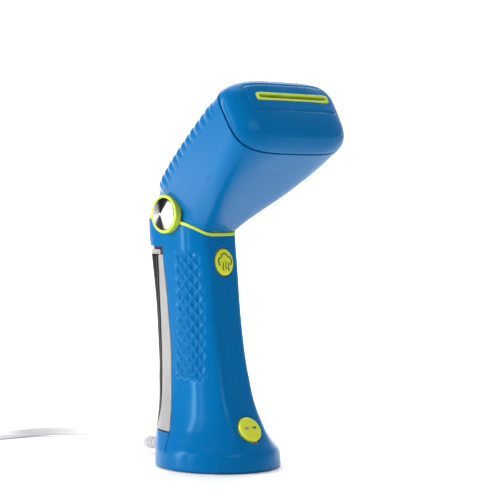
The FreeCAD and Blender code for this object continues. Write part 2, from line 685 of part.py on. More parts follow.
outlet_route = [(0, PUMP_Y, 90.3), (0, PUMP_Y, 103), (-7, 19, 134), (-7, HINGE_Y, 153),
                (-7, HINGE_Y, HINGE_Z - 4.7)]
save("inlet_hose", pipe(inlet_route, HOSE_R, bore=HOSE_BORE_R))
save("outlet_hose", pipe(outlet_route, HOSE_R, bore=HOSE_BORE_R))


# ---------------------------------------------------------------- electrics in the handle
BOARD_Y = -1.6
save("control_board", box(-12.4, 12.4, BOARD_Y, BOARD_Y + 1.5, 94, 126))
save("board_relay", box(4.4, 12.2, BOARD_Y + 1.55, BOARD_Y + 11, 98, 113))
save("board_capacitor", rod((8, BOARD_Y + 1.55, 119), (0, 1, 0), 3.6, 9))
save("mains_lead", pipe([(0, 37.8, 9.2), (-4, 24, 9.2), (-15, 12, 16), (-16, 6, 40), (-15, 4, 66),
                         (-14.9, 2, 88)], 2.2, label="mains_lead"))


def button_parts(button, prefix):
    half_x, half_y = button[3], button[4]
    crown = oval(half_x, half_y, -2.8, 0.9)
    flange = oval(half_x + 0.9, half_y + 0.9, -3.7, -2.8)
    stem = rod((0, 0, -8.2), (0, 0, 1), 2.0, 5)
    save(prefix + "_button", in_button_frame(fuse([crown, flange, stem]), button))
    guide = box(-9.5, 9.5, -half_y - 4.4, half_y + 4.4, -8.6, -7.4)
    guide = guide.cut(rod((0, 0, -9), (0, 0, 1), 2.25, 3))
    posts = [rod((0, side * (half_y + 2.9), -7.4), (0, 0, 1), 1.3, 4.2) for side in (1, -1)]
    save(prefix + "_guide", in_button_frame(fuse([guide] + posts), button).cut(outer.cut(inner)))
    y, z, tilt = button[:3]
    a = math.radians(tilt)
    inward = (0, math.cos(a), -math.sin(a))
    base = (0, y + 7.35 * inward[1], z + 7.35 * inward[2])
    save(prefix + "_spring", spring(base, (0, -inward[1], -inward[2]), 2.5, 0.5, 3.6, 4))
    switch = box(-6.5, 6.5, -5, 5, -16.6, -10.6)
    plunger = box(-1.4, 1.4, -1.4, 1.4, -10.6, -10.1)
    save(prefix + "_switch", in_button_frame(fuse([switch, plunger]), button))


button_parts(STEAM_BUTTON, "steam")
button_parts(POWER_BUTTON, "power")
lenses = [oval(1.9, 1.1, 0.95, 1.25), oval(1.9, 1.1, 0.95, 1.25)]
lenses[0].translate(Vector(-3.4, 0.6, 0))
lenses[1].translate(Vector(3.4, 0.6, 0))
save("indicator_lenses", in_button_frame(Part.makeCompound(lenses), POWER_BUTTON))


# ---------------------------------------------------------------- water tank
def tank_parts():
    tank_outer = handle_body(0.05, HANDLE_LEVELS)
    room = behind_seam(TANK_GAP, TANK_LOW, TANK_HIGH - 3.4)
    solid = tank_outer.common(room)
    cavity = handle_body(TANK_WALL, HANDLE_LEVELS).common(
        behind_seam(TANK_GAP + TANK_WALL, TANK_LOW + TANK_WALL, TANK_HIGH - 3.4 + 1))
    shell = solid.cut(cavity).fuse(rod((0, FILL_Y - 3, FILL_Z), (0, 1, 0), 9.0, 3.5))
    shell = shell.cut(rod((0, FILL_Y + 0.5, FILL_Z), (0, 1, 0), 9.0, 8))
    neck_hole = rod((0, seat_y - 6, VALVE_Z), (0, 1, 0), 4.0, 12)
    shell = shell.cut(neck_hole).cut(rod((0, FILL_Y - 6, FILL_Z), (0, 1, 0), 5.6, 12))
    save("tank_shell", shell)
    lid = tank_outer.common(behind_seam(TANK_GAP, TANK_HIGH - 3.3, TANK_HIGH))
    lid = lid.cut(box(-7.3, 7.3, 49.0, 90, CATCH_LOW - CATCH_SINK, TANK_HIGH + 1))
    save("tank_lid", lid)


tank_parts()
valve = fuse([rod((0, seat_y - 2.4, VALVE_Z), (0, 1, 0), 5.0, 2.2),
              rod((0, seat_y - 1, VALVE_Z), (0, 1, 0), 3.9, 5.2),
              rod((0, seat_y + 3.2, VALVE_Z), (0, 1, 0), 6.4, 1.4),
              rod((0, seat_y + 4.2, VALVE_Z), (0, 1, 0), 4.6, 7)])
valve = valve.cut(rod((0, seat_y - 4, VALVE_Z), (0, 1, 0), 2.2, 20))
valve = valve.cut(rod((0, seat_y + 2, VALVE_Z), (0, 1, 0), 3.4, 7.4))
save("outlet_valve", valve)
save("valve_poppet", fuse([rod((0, seat_y + 2.2, VALVE_Z), (0, 1, 0), 3.1, 1.6),
                           rod((0, seat_y - 1.6, VALVE_Z), (0, 1, 0), 1.3, 4)]))
save("valve_spring", spring((0, seat_y + 3.95, VALVE_Z), (0, 1, 0), 2.4, 0.5, 5.3, 4))
save("pickup_filter", tube((0, seat_y + 11.3, VALVE_Z), (0, 1, 0), 3.6, 2.9, 3.5)
     .fuse(rod((0, seat_y + 14.2, VALVE_Z), (0, 1, 0), 3.6, 0.6)).removeSplitter())
stopper = fuse([rod((0, FILL_Y - 3.2, FILL_Z), (0, 1, 0), 5.45, 4.0),
                rod((0, FILL_Y + 0.55, FILL_Z), (0, 1, 0), 7.6, 1.6),
                box(-2, 2, FILL_Y + 0.6, FILL_Y + 2.0, FILL_Z - 9.6, FILL_Z),
                box(-2, 2, FILL_Y + 0.6, FILL_Y + 4.0, FILL_Z - 9.6, FILL_Z - 7.8)])
save("filler_plug", stopper)
catch = fuse([box(-7, 7, 49.3, 58.2, CATCH_LOW, BAY_CEILING - 0.7),
              box(-5.6, 5.6, 50.6, 53.8, CATCH_LOW, BAY_CEILING - 0.2)])
save("tank_catch", catch.common(handle_body(0.05, [130, 140, 154, 166, 178])))


# ---------------------------------------------------------------- cord, coil and plug
def strain_relief():
    start, tip = Vector(*RELIEF_START), Vector(*CORD_ROUTE[0])
    way = tip - start
    cone = Part.makeCone(6.0, 4.3, way.Length, start, way)
    neck = rod((0, 41.2, RELIEF_START[2]), (0, 1, 0), 4.9, 4.2)
    flange = rod((0, 38.6, RELIEF_START[2]), (0, 1, 0), 5.5, 2.0)
    stub = rod((0, 40.4, RELIEF_START[2]), (0, 1, 0), 4.9, 2)
    return fuse([flange, stub, neck, cone])


save("strain_relief", strain_relief())
save("cord_clamp", box(-10, 10, 29, 35, 11.8, 14).fuse(box(-10, -7, 29, 35, 3.8, 12)).fuse(
    box(7, 10, 29, 35, 3.8, 12)).removeSplitter())

lead = pipe(CORD_ROUTE, CORD_R, label="power_cord")
tail = pipe(TAIL_ROUTE, CORD_R, label="cord tail")
save("power_cord", Part.makeCompound([lead, tail]))


def cord_coil():
    """Outer shape of the wound turns: a flat ring with rounded corners."""
    ring = tube((*COIL_CENTRE, COIL_BOTTOM), (0, 0, 1), COIL_MIDDLE_R + COIL_HALF_WIDTH,
                COIL_MIDDLE_R - COIL_HALF_WIDTH, COIL_TOP - COIL_BOTTOM)
    return ring.makeFillet(2.4, ring.Edges)


def coil_tie():
    x0, x1 = COIL_CENTRE[0] - 3, COIL_CENTRE[0] + 3
    y0 = COIL_CENTRE[1] + COIL_MIDDLE_R - COIL_HALF_WIDTH
    y1 = y0 + 2 * COIL_HALF_WIDTH
    loop = box(x0, x1, y0 - 1.2, y1 + 0.9, 0.0, COIL_TOP + 0.9)
    hole = box(x0 - 1, x1 + 1, y0 - 0.3, y1, COIL_BOTTOM, COIL_TOP)
    return loop.cut(hole)


save("cord_coil", cord_coil())
x, y, z = PLUG_START
neck = Part.makeCone(4.4, 6.0, 12, Vector(x, y, z), Vector(0, 1, 0))
body = box(x - 12.5, x + 12.5, y + 12, y + 38, z - 7.2, z + 7.2)
body = body.makeFillet(3.0, body.Edges)
save("plug_body", fuse([neck, body]))
pins = [box(x + at - 0.75, x + at + 0.75, y + 38, y + 55, z - 3.15, z + 3.15) for at in (-6.35, 6.35)]
save("plug_pins", Part.makeCompound(pins))
save("coil_tie", coil_tie())
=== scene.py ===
import json
import math

import bpy
import bmesh
import numpy as np
from mathutils import Matrix, Vector


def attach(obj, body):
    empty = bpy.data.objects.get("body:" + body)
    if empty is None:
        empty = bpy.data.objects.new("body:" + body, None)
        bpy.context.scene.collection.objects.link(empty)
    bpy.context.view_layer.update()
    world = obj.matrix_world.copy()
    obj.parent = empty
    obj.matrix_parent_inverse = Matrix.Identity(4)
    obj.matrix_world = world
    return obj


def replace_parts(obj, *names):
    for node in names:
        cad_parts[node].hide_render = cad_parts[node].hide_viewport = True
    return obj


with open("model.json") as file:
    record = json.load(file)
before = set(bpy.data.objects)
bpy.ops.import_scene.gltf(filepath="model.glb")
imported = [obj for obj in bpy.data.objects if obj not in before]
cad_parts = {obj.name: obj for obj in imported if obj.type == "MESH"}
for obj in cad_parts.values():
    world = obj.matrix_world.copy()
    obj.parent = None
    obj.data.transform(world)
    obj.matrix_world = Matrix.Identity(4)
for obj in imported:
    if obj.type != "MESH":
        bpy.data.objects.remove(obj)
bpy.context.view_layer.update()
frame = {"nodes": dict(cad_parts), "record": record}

MM = 0.001
FINE = 1.0        # share of the full mesh density

# ---------------------------------------------------------------- camera
CAMERA_AZIMUTH, CAMERA_DISTANCE, CAMERA_HEIGHT = -42.363, 1.29725, 0.20003
CAMERA_YAW, CAMERA_PITCH, CAMERA_ROLL = -0.884, 2.121, 0.874
LENS = 134.35


def add_camera():
    azimuth, yaw, pitch, roll = (math.radians(a) for a in
                                 (CAMERA_AZIMUTH, CAMERA_YAW, CAMERA_PITCH, CAMERA_ROLL))
    turn = azimuth + yaw
    forward = Vector((-math.sin(turn) * math.cos(pitch), math.cos(turn) * math.cos(pitch), -math.sin(pitch)))
    right = forward.cross(Vector((0, 0, 1))).normalized()
    up = right.cross(forward)
    across = right * math.cos(roll) + up * math.sin(roll)
    over = up * math.cos(roll) - right * math.sin(roll)
    place = Vector((CAMERA_DISTANCE * math.sin(azimuth), -CAMERA_DISTANCE * math.cos(azimuth), CAMERA_HEIGHT))
    data = bpy.data.cameras.new("camera")
    data.lens, data.sensor_width = LENS, 36
    data.clip_start, data.clip_end = 0.05, 20
    camera = bpy.data.objects.new("camera", data)
    bpy.context.scene.collection.objects.link(camera)
    camera.matrix_world = Matrix.Translation(place) @ Matrix((across, over, -forward)).transposed().to_4x4()
    bpy.context.scene.camera = camera


add_camera()


# ---------------------------------------------------------------- sizes shared with the part, millimetres
SHELL_BOTTOM, FOOT_TOP = 0.7, 11.5
FRONT_Y = [(0, -44), (11.5, -42.8), (19, -38), (28, -32.2), (41, -24.6), (52, -19.8),
           (70, -14.7), (99.5, -9.2), (136, -4.2), (160, -0.1), (180, 3.2)]
REAR_Y = [(0, 44), (11.5, 44.6), (28, 45.6), (56, 46.2), (71, 46.9), (86, 48.4),
          (113, 51.3), (141, 56.2), (165, 60.0), (180, 60.2)]
SIDE_X = [(0, 44), (11.5, 43.2), (20, 38.5), (28, 33), (41, 26.8), (52, 24.6),
          (70, 23.2), (100, 22.8), (180, 23)]
FACET_X = [(11.5, 17), (28, 17), (41, 15.6), (52, 14.8), (86, 13.4), (115, 13.2),
           (149, 13.9), (160, 14.5), (180, 15.5)]
ROUNDNESS = [(11.5, 1), (20, 0.8), (28, 0.55), (41, 0.25), (60, 0)]
FACET_SLANT = 58.0
REAR_POWER, FRONT_POWER = 4.0, 16.0
TRIM_REAR_Z, TRIM_DROP, TRIM_FADE = 171.6, 11.6, 16.0
TRIM_THICK, TRIM_PROUD, HEAD_GAP = 2.5, 0.35, 0.4
HINGE_Y, HINGE_Z = 30.7, 174.6
KNUCKLE_R, KNUCKLE_POWER = 27.5, 3.6
EAR_R, EAR_INNER_X, EAR_FLOOR_X, EAR_RIM_X = 13.5, 22.4, 25.8, 27.2
CAP_R, CAP_DOME = 11.2, 2.4
HEAD_TILT = 32.0
SEAM_Y, SEAM_Z, SEAM_HALF_X, SEAM_HALF_T = -58.3, 239.0, 52.5, 26.8
FAN_START, FAN_END, FAN_SHARE, FRONT_REACH = 21.5, 54.5, 0.125, 33.0
HEAD_SIDE = [(0, 20.4), (0.05, 20.6), (0.14, 24.8), (0.5, 38.5), (1, SEAM_HALF_X)]
HEAD_FACET = [(0, 14.6), (0.12, 18), (0.5, 40), (1, 85)]
HEAD_LEAN = [(0, 6.4), (0.15, 0), (1, 0)]
HEAD_BACK_POWER = [(0, KNUCKLE_POWER), (0.3, 4.7), (1, 4.0)]
HEAD_FRONT_POWER = [(0, 14), (0.3, 9), (1, 4.0)]
CAP_DEPTH, SLOT_T = 16.6, 7.7
SLOT_HALF_X, SLOT_HALF_T, LINER_WALL = 31.0, 1.3, 1.9
TANK_FRONT = [(12, 23), (24.9, 26.3), (53.8, 24.7), (86.7, 26.9), (102.7, 28.9),
              (118.7, 31.1), (134.6, 34.5), (141, 36.8), (152, 39.5), (172, 40.5)]
SEAM_SIDE = [(12, 7), (20, 10), (26.5, 13.6), (33.3, 17.7), (45.3, 21.7), (62.3, 24.2), (83.3, 26.1),
             (102.7, 28.9), (118.7, 31.1), (134.6, 34.0), (141, 35.2), (152, 36.6), (172, 38.5)]
TANK_LOW, TANK_LID_Z = 24.6, 146.2
BAY_FLOOR, BAY_CEILING = 24.2, 151.6
STEAM_BUTTON = (-3.35, 142.0, 9.0, 8.0, 9.4)
POWER_BUTTON = (-32.1, 28.5, 33.0, 9.3, 9.3)


def curve(table, at):
    """The part's smooth curve through (position, value) pairs, for an array of positions."""
    xs, ys = np.array(table, float).T
    at = np.clip(np.asarray(at, float), xs[0], xs[-1])
    width = np.diff(xs)
    steps = np.diff(ys) / width
    slope = np.zeros(len(xs))
    slope[0], slope[-1] = steps[0], steps[-1]
    for k in range(1, len(xs) - 1):
        if steps[k - 1] * steps[k] > 0:
            before, after = width[k - 1], width[k]
            weights = (2 * after + before) / steps[k - 1] + (after + 2 * before) / steps[k]
            slope[k] = 3 * (before + after) / weights
    i = np.clip(np.searchsorted(xs, at, side="right") - 1, 0, len(xs) - 2)
    t = (at - xs[i]) / width[i]
    rise = 3 * t**2 - 2 * t**3
    bend = (t**3 - 2 * t**2 + t) * slope[i] + (t**3 - t**2) * slope[i + 1]
    return ys[i] * (1 - rise) + ys[i + 1] * rise + bend * width[i]


def smooth(x):
    x = np.clip(x, 0, 1)
    return x * x * (3 - 2 * x)


def soft_polygon(angle, faces, power):
    total = 0
    for direction, distance in faces:
        share = np.cos(angle - math.radians(direction)) / distance
        total = total + np.where(share > 0, np.abs(share), 0)**power
    return total**(-1 / power)


def stack(*parts):
    return np.stack(np.broadcast_arrays(*parts), axis=-1)


def handle_at(z, angle, inset=0.0):
    z, angle = np.broadcast_arrays(np.asarray(z, float), np.asarray(angle, float))
    front, rear = curve(FRONT_Y, z), curve(REAR_Y, z)
    side, facet, roundness = curve(SIDE_X, z), curve(FACET_X, z), curve(ROUNDNESS, z)
    half, middle = (rear - front) / 2, (rear + front) / 2
    slant = math.radians(FACET_SLANT)
    slant_at = math.sin(slant) * facet + math.cos(slant) * half
    power = REAR_POWER + (FRONT_POWER - REAR_POWER) * smooth(0.5 - 1.2 * np.sin(angle))
    faces = [(0, side), (180, side), (90, half), (-90, half),
             (-90 + FACET_SLANT, slant_at), (-90 - FACET_SLANT, slant_at)]
    square = soft_polygon(angle, faces, power)
    oval = 1 / np.hypot(np.cos(angle) / side, np.sin(angle) / half)
    radius = (1 - roundness) * square + roundness * oval - inset
    return stack(radius * np.cos(angle), middle + radius * np.sin(angle), z)


def trim_z(y):
    return TRIM_REAR_Z - TRIM_DROP * np.exp(-np.asarray(y) / TRIM_FADE)


def around_hinge(radius, degrees):
    a = math.radians(degrees)
    return np.array([HINGE_Y + radius * math.cos(a), HINGE_Z + radius * math.sin(a)])


TILT = math.radians(HEAD_TILT)
FACE_UP = np.array([math.sin(TILT), math.cos(TILT)])       # up the nozzle face, as (y, z)
FACE_OUT = np.array([-math.cos(TILT), math.sin(TILT)])


def head_place(x, t, s):
    x, t, s = (np.asarray(v, float) for v in (x, t, s))
    return stack(x, SEAM_Y + t * FACE_UP[0] + s * FACE_OUT[0], SEAM_Z + t * FACE_UP[1] + s * FACE_OUT[1])


def head_at(share, angle, inset=0.0):
    share, angle = np.broadcast_arrays(np.asarray(share, float), np.asarray(angle, float))
    low, high = (head_place(0, side * SEAM_HALF_T, 0)[1:] for side in (-1, 1))
    start = around_hinge(-FRONT_REACH, FAN_START)
    front = start + (low - start) * share[..., None]
    fan = np.radians(FAN_START + (FAN_END - FAN_START) * share / FAN_SHARE)
    round_back = np.stack([HINGE_Y + KNUCKLE_R * np.cos(fan), HINGE_Z + KNUCKLE_R * np.sin(fan)], axis=-1)
    corner = around_hinge(KNUCKLE_R, FAN_END)
    flat_back = corner + (high - corner) * ((share - FAN_SHARE) / (1 - FAN_SHARE))[..., None]
    back = np.where((share < FAN_SHARE)[..., None], round_back, flat_back)
    chord = np.linalg.norm(back - front, axis=-1)
    split = 0.545 - 0.045 * share
    centre = front + (back - front) * split[..., None]
    to_front, to_back = chord * split, chord * (1 - split)
    side, facet, lean = curve(HEAD_SIDE, share), curve(HEAD_FACET, share), np.radians(curve(HEAD_LEAN, share))
    slant = math.radians(FACET_SLANT)
    slant_at = math.sin(slant) * facet + math.cos(slant) * to_front
    back_power, front_power = curve(HEAD_BACK_POWER, share), curve(HEAD_FRONT_POWER, share)
    power = back_power + (front_power - back_power) * smooth(0.5 - 1.2 * np.sin(angle))
    faces = [(90, to_back), (-90, to_front), (-90 + FACET_SLANT, slant_at), (-90 - FACET_SLANT, slant_at)]
    radius = soft_polygon_leaning(angle, faces, side, lean, power) - inset
    up = (back - front) / chord[..., None]
    lift = radius * np.sin(angle)
    return stack(radius * np.cos(angle), centre[..., 0] + lift * up[..., 0],
                 centre[..., 1] + lift * up[..., 1])


def soft_polygon_leaning(angle, faces, side, lean, power):
    total = soft_polygon(angle, faces, power)**(-power)
    for direction in (lean, math.pi - lean):
        share = np.cos(angle - direction) / side
        total = total + np.where(share > 0, np.abs(share), 0)**power
    return total**(-1 / power)


# ---------------------------------------------------------------- mesh helpers
WELD = 2e-3                              # points nearer than this become one


def make_piece(name, grids, material, body, sharp=None):
    """One smooth mesh out of grids of points in millimetres, welded where they meet."""
    points, quads, count = [], [], 0
    for grid in grids:
        rows, columns = grid.shape[:2]
        index = np.arange(rows * columns).reshape(rows, columns) + count
        corner = [index[:-1, :-1], index[:-1, 1:], index[1:, 1:], index[1:, :-1]]
        quads.append(np.stack([c.ravel() for c in corner], axis=1))
        points.append(grid.reshape(-1, 3))
        count += rows * columns
    points, quads = np.concatenate(points), np.concatenate(quads)
    _, first, inverse = np.unique(np.round(points / WELD).astype(np.int64), axis=0,
                                  return_index=True, return_inverse=True)
    points, quads = points[first], inverse.ravel()[quads]
    mesh = bpy.data.meshes.new(name)
    mesh.vertices.add(len(points))
    mesh.vertices.foreach_set("co", (points * MM).astype(np.float32).ravel())
    mesh.loops.add(quads.size)
    mesh.loops.foreach_set("vertex_index", quads.astype(np.int32).ravel())
    mesh.polygons.add(len(quads))
    mesh.polygons.foreach_set("loop_start", np.arange(0, quads.size, 4, dtype=np.int32))
    mesh.update(calc_edges=True)
    mesh.validate()
    work = bmesh.new()
    work.from_mesh(mesh)
    bmesh.ops.dissolve_degenerate(work, dist=1e-7, edges=work.edges)
    bmesh.ops.recalc_face_normals(work, faces=work.faces)
    work.to_mesh(mesh)
    work.free()
    mesh.shade_smooth()
    if sharp:
        mesh.set_sharp_from_angle(angle=math.radians(sharp))
    piece = bpy.data.objects.new(name, mesh)
    bpy.context.scene.collection.objects.link(piece)
    mesh.materials.append(material)
    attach(piece, body)
    return piece


def unit(vectors):
    return vectors / np.maximum(np.linalg.norm(vectors, axis=-1, keepdims=True), 1e-9)


def grid_normals(grid):
    return unit(np.cross(np.gradient(grid, axis=1), np.gradient(grid, axis=0)))


def rim(edge, inner, normal, radius, depth, steps=4):
    """A rounded edge: from the boundary row, over a quarter turn and down into the wall."""
    out = unit(edge - inner)
    out = unit(out - normal * np.sum(out * normal, axis=-1, keepdims=True))
    rows = [edge]
    for k in range(1, steps + 1):
        a = math.pi / 2 * k / steps
        rows.append(edge + radius * (math.sin(a) * out + (math.cos(a) - 1) * normal))
    rows.append(edge + radius * out - depth * normal)
    return np.stack(rows)


def all_rims(grid, sides, radius=0.5, depth=2.0, outward=1):
    """Rounded edges for the named sides of an open grid."""
    normal = grid_normals(grid) * outward
    found = []
    if "top" in sides:
        found.append(rim(grid[-1], grid[-2], normal[-1], radius, depth))
    if "bottom" in sides:
        found.append(rim(grid[0], grid[1], normal[0], radius, depth))
    if "left" in sides:
        found.append(rim(grid[:, 0], grid[:, 1], normal[:, 0], radius, depth))
    if "right" in sides:
        found.append(rim(grid[:, -1], grid[:, -2], normal[:, -1], radius, depth))
    return found


# ---------------------------------------------------------------- materials
class Nodes:
    """Short-hand for wiring one node material."""

    def __init__(self, name):
        self.material = bpy.data.materials.new(name)
        self.material.use_nodes = True
        self.tree = self.material.node_tree
        self.tree.nodes.clear()
        self.output = self.add("ShaderNodeOutputMaterial")
        self.place = self.add("ShaderNodeTexCoord").outputs["Object"]

    def add(self, kind, **settings):
        node = self.tree.nodes.new(kind)
        for key, value in settings.items():
            setattr(node, key, value)
        return node

    def set(self, socket, value):
        if isinstance(value, bpy.types.NodeSocket):
            self.tree.links.new(value, socket)
        elif value is not None:
            if socket.type == "RGBA" and len(value) == 3:
                value = (*value, 1)
            socket.default_value = value

    def noise(self, scale, detail=2.0, roughness=0.5, place=None):
        node = self.add("ShaderNodeTexNoise")
        self.set(node.inputs["Vector"], place or self.place)
        self.set(node.inputs["Scale"], scale)
        self.set(node.inputs["Detail"], detail)
        self.set(node.inputs["Roughness"], roughness)
        return node.outputs["Fac"]

    def ramp(self, factor, low, high, start=0.0, end=1.0):
        """Maps start..end of a factor onto low..high."""
        node = self.add("ShaderNodeMapRange")
        for key, value in zip(("Value", "From Min", "From Max", "To Min", "To Max"),
                              (factor, start, end, low, high)):
            self.set(node.inputs[key], value)
        return node.outputs["Result"]

    def mix(self, factor, first, second):
        node = self.add("ShaderNodeMix", data_type="RGBA")
        self.set(node.inputs["Factor"], factor)
        self.set(node.inputs[6], first)
        self.set(node.inputs[7], second)
        return node.outputs[2]

    def math(self, operation, first, second=None):
        node = self.add("ShaderNodeMath", operation=operation)
        for socket, value in zip(node.inputs, (first, second)):
            self.set(socket, value)
        return node.outputs[0]

    def split(self, vector=None):
        node = self.add("ShaderNodeSeparateXYZ")
        self.set(node.inputs[0], vector or self.place)
        return node.outputs

    def scaled(self, x, y, z):
        node = self.add("ShaderNodeMapping")
        self.set(node.inputs["Vector"], self.place)
        self.set(node.inputs["Scale"], (x, y, z))
        return node.outputs[0]

    def bump(self, height, distance, strength=1.0, under=None):
        node = self.add("ShaderNodeBump")
        self.set(node.inputs["Height"], height)
        self.set(node.inputs["Distance"], distance)
        self.set(node.inputs["Strength"], strength)
        self.set(node.inputs["Normal"], under)
        return node.outputs[0]

    def surface(self, **inputs):
        shader = self.add("ShaderNodeBsdfPrincipled")
        for key, value in inputs.items():
            self.set(shader.inputs[key.replace("_", " ")], value)
        self.tree.links.new(shader.outputs[0], self.output.inputs["Surface"])
        return self.material


def moulded(name, colour, shade, roughness, grain=0.000008, grain_scale=1500, coat=0.0, **more):
    """Injection-moulded plastic: faint flow shading, uneven gloss and a fine moulded grain."""
    n = Nodes(name)
    flow = n.noise(14, 3, 0.6, n.scaled(1, 1, 0.35))
    tint = n.mix(n.ramp(flow, 0, 1, 0.3, 0.7), colour, shade)
    gloss = n.ramp(n.noise(60, 4, 0.6), roughness * 0.8, roughness * 1.25, 0.3, 0.7)
    wave = n.bump(n.noise(18, 1), 0.00004, 0.15)
    skin = n.bump(n.noise(grain_scale, 2), grain, 0.5, wave)
    return n.surface(Base_Color=tint, Roughness=gloss, Normal=skin, Coat_Weight=coat,
                     Coat_Roughness=0.05, **more)


def spun_chrome():
    """Bright plate with fine turned rings, and a painted reflection: a fan of dark and light wedges in its
    colour.
    """
    n = Nodes("spun_chrome")
    _, y, z = n.split()
    from_y = n.math("SUBTRACT", y, HINGE_Y * MM)
    from_z = n.math("SUBTRACT", z, HINGE_Z * MM)
    from_axis = n.math("SQRT", n.math("ADD", n.math("POWER", from_y, 2.0), n.math("POWER", from_z, 2.0)))
    rings = n.math("SINE", n.math("MULTIPLY", from_axis, 24000.0))
    uneven = n.noise(900, 3, 0.6)
    # painted reflection: dark and light wedges by direction round the hinge axis, mixed into the plate's
    # colour
    angle = n.math("ARCTAN2", from_z, from_y)
    twice = n.math("SINE", n.math("SUBTRACT", n.math("MULTIPLY", angle, 2.0), 1.9))
    once = n.math("MULTIPLY", n.math("SINE", n.math("ADD", angle, 1.3)), 0.5)
    dark = n.ramp(n.math("ADD", twice, once), 0, 1, -0.1, 0.75)
    tint = n.mix(dark, n.mix(uneven, (0.8, 0.81, 0.83), (0.97, 0.97, 0.98)), (0.012, 0.012, 0.014))
    tangent = n.add("ShaderNodeTangent", direction_type="RADIAL", axis="X").outputs[0]
    return n.surface(Base_Color=tint, Metallic=1.0,
                     Roughness=n.ramp(uneven, 0.16, 0.3), Anisotropic=0.8, Tangent=tangent,
                     Normal=n.bump(n.math("MULTIPLY", rings, n.ramp(uneven, 0.6, 1)), 0.000004, 0.6))


def brushed_metal(name, colour, shade, roughness, stretch=(1, 1, 30), scale=260):
    n = Nodes(name)
    lines = n.noise(scale, 4, 0.7, n.scaled(*stretch))
    blotch = n.noise(40, 3)
    return n.surface(Base_Color=n.mix(n.ramp(blotch, 0, 1, 0.35, 0.65), colour, shade), Metallic=1.0,
                     Roughness=n.ramp(lines, roughness * 0.7, roughness * 1.4, 0.3, 0.7),
                     Normal=n.bump(lines, 0.00002, 0.5))


def rubbery(name, colour, shade, roughness=0.62, scale=1400, **more):
    n = Nodes(name)
    dust = n.noise(35, 4, 0.65)
    return n.surface(Base_Color=n.mix(n.ramp(dust, 0, 1, 0.35, 0.7), colour, shade),
                     Roughness=n.ramp(n.noise(120, 3), roughness * 0.85, roughness * 1.1, 0.3, 0.7),
                     Normal=n.bump(n.noise(scale, 3, 0.6), 0.00004, 0.5), **more)


def webbing():
    """Black woven tape."""
    n = Nodes("woven_tape")
    across = n.add("ShaderNodeTexWave", wave_type="BANDS", bands_direction="X")
    along = n.add("ShaderNodeTexWave", wave_type="BANDS", bands_direction="Y")
    for wave in (across, along):
        n.set(wave.inputs["Vector"], n.place)
        n.set(wave.inputs["Scale"], 320.0)
        n.set(wave.inputs["Distortion"], 1.5)
    weave = n.math("MULTIPLY", across.outputs["Fac"], along.outputs["Fac"])
    return n.surface(Base_Color=n.mix(weave, (0.012, 0.012, 0.013), (0.05, 0.05, 0.055)),
                     Roughness=n.ramp(weave, 0.7, 0.9), Normal=n.bump(weave, 0.0002, 0.8))


def solder_mask():
    n = Nodes("solder_mask")
    brick = n.add("ShaderNodeTexBrick", offset=0.5, squash=1.0)
    n.set(brick.inputs["Vector"], n.scaled(1, 1, 1))
    n.set(brick.inputs["Scale"], 190.0)
    n.set(brick.inputs["Color1"], (0.01, 0.12, 0.04))
    n.set(brick.inputs["Color2"], (0.015, 0.16, 0.055))
    n.set(brick.inputs["Mortar"], (0.03, 0.28, 0.1))
    return n.surface(Base_Color=brick.outputs["Color"], Roughness=n.ramp(n.noise(400), 0.25, 0.45),
                     Normal=n.bump(brick.outputs["Fac"], 0.00003, 0.4))


# The tank's painted dark shade begins along a slanting line.
TANK_LEAN, PAINTED_SHADE_START, PAINTED_SHADE_END = -0.075, 30.0, 30.6


def tank_plastic():
    """Clear moulding: milky where it is seen along the wall, painted dark shade towards the back, a grey line
    between.
    """
    n = Nodes("tank_plastic")
    _, y, z = n.split()
    lean = n.math("ADD", y, n.math("MULTIPLY", z, TANK_LEAN))
    waver = n.math("MULTIPLY", n.noise(90, 2), 0.0006)
    depth = n.math("ADD", lean, waver)
    # painted shade: near-black, opaque colour over the tank's rear part
    painted_shade = n.ramp(depth, 0, 1, PAINTED_SHADE_START * MM, PAINTED_SHADE_END * MM)
    line = n.math("MULTIPLY", n.ramp(depth, 0, 1, (PAINTED_SHADE_END + 1.6) * MM, (PAINTED_SHADE_END + 2.1) * MM),
                  n.ramp(depth, 1, 0, (PAINTED_SHADE_END + 2.3) * MM, (PAINTED_SHADE_END + 2.9) * MM))
    milk = n.mix(n.noise(30, 3), (0.47, 0.46, 0.45), (0.54, 0.53, 0.52))
    tint = n.mix(painted_shade, milk, (0.012, 0.012, 0.014))
    tint = n.mix(n.math("MULTIPLY", line, 0.8), tint, (0.1, 0.1, 0.105))
    return n.surface(Base_Color=tint, Roughness=n.ramp(n.noise(70, 3), 0.14, 0.22, 0.3, 0.7), IOR=1.49,
                     Transmission_Weight=n.ramp(painted_shade, 0.3, 0.0),
                     Normal=n.bump(n.noise(120, 2), 0.00005, 0.3),
                     Specular_IOR_Level=n.ramp(painted_shade, 0.5, 0.03))


BLUE = moulded("blue_gloss", (0.0, 0.136, 0.375), (0.0, 0.125, 0.35), 0.22, Specular_IOR_Level=0.2,
               Specular_Tint=(0.35, 0.8, 1.0))
LIME = moulded("lime_satin", (0.54, 0.69, 0.045), (0.5, 0.65, 0.04), 0.3, coat=0.15)
LIME_BUTTON = moulded("lime_button", (0.66, 0.72, 0.028), (0.62, 0.68, 0.025), 0.32, coat=0.2)
ICON_INK = moulded("icon_ink", (0.02, 0.035, 0.004), (0.03, 0.05, 0.006), 0.6)
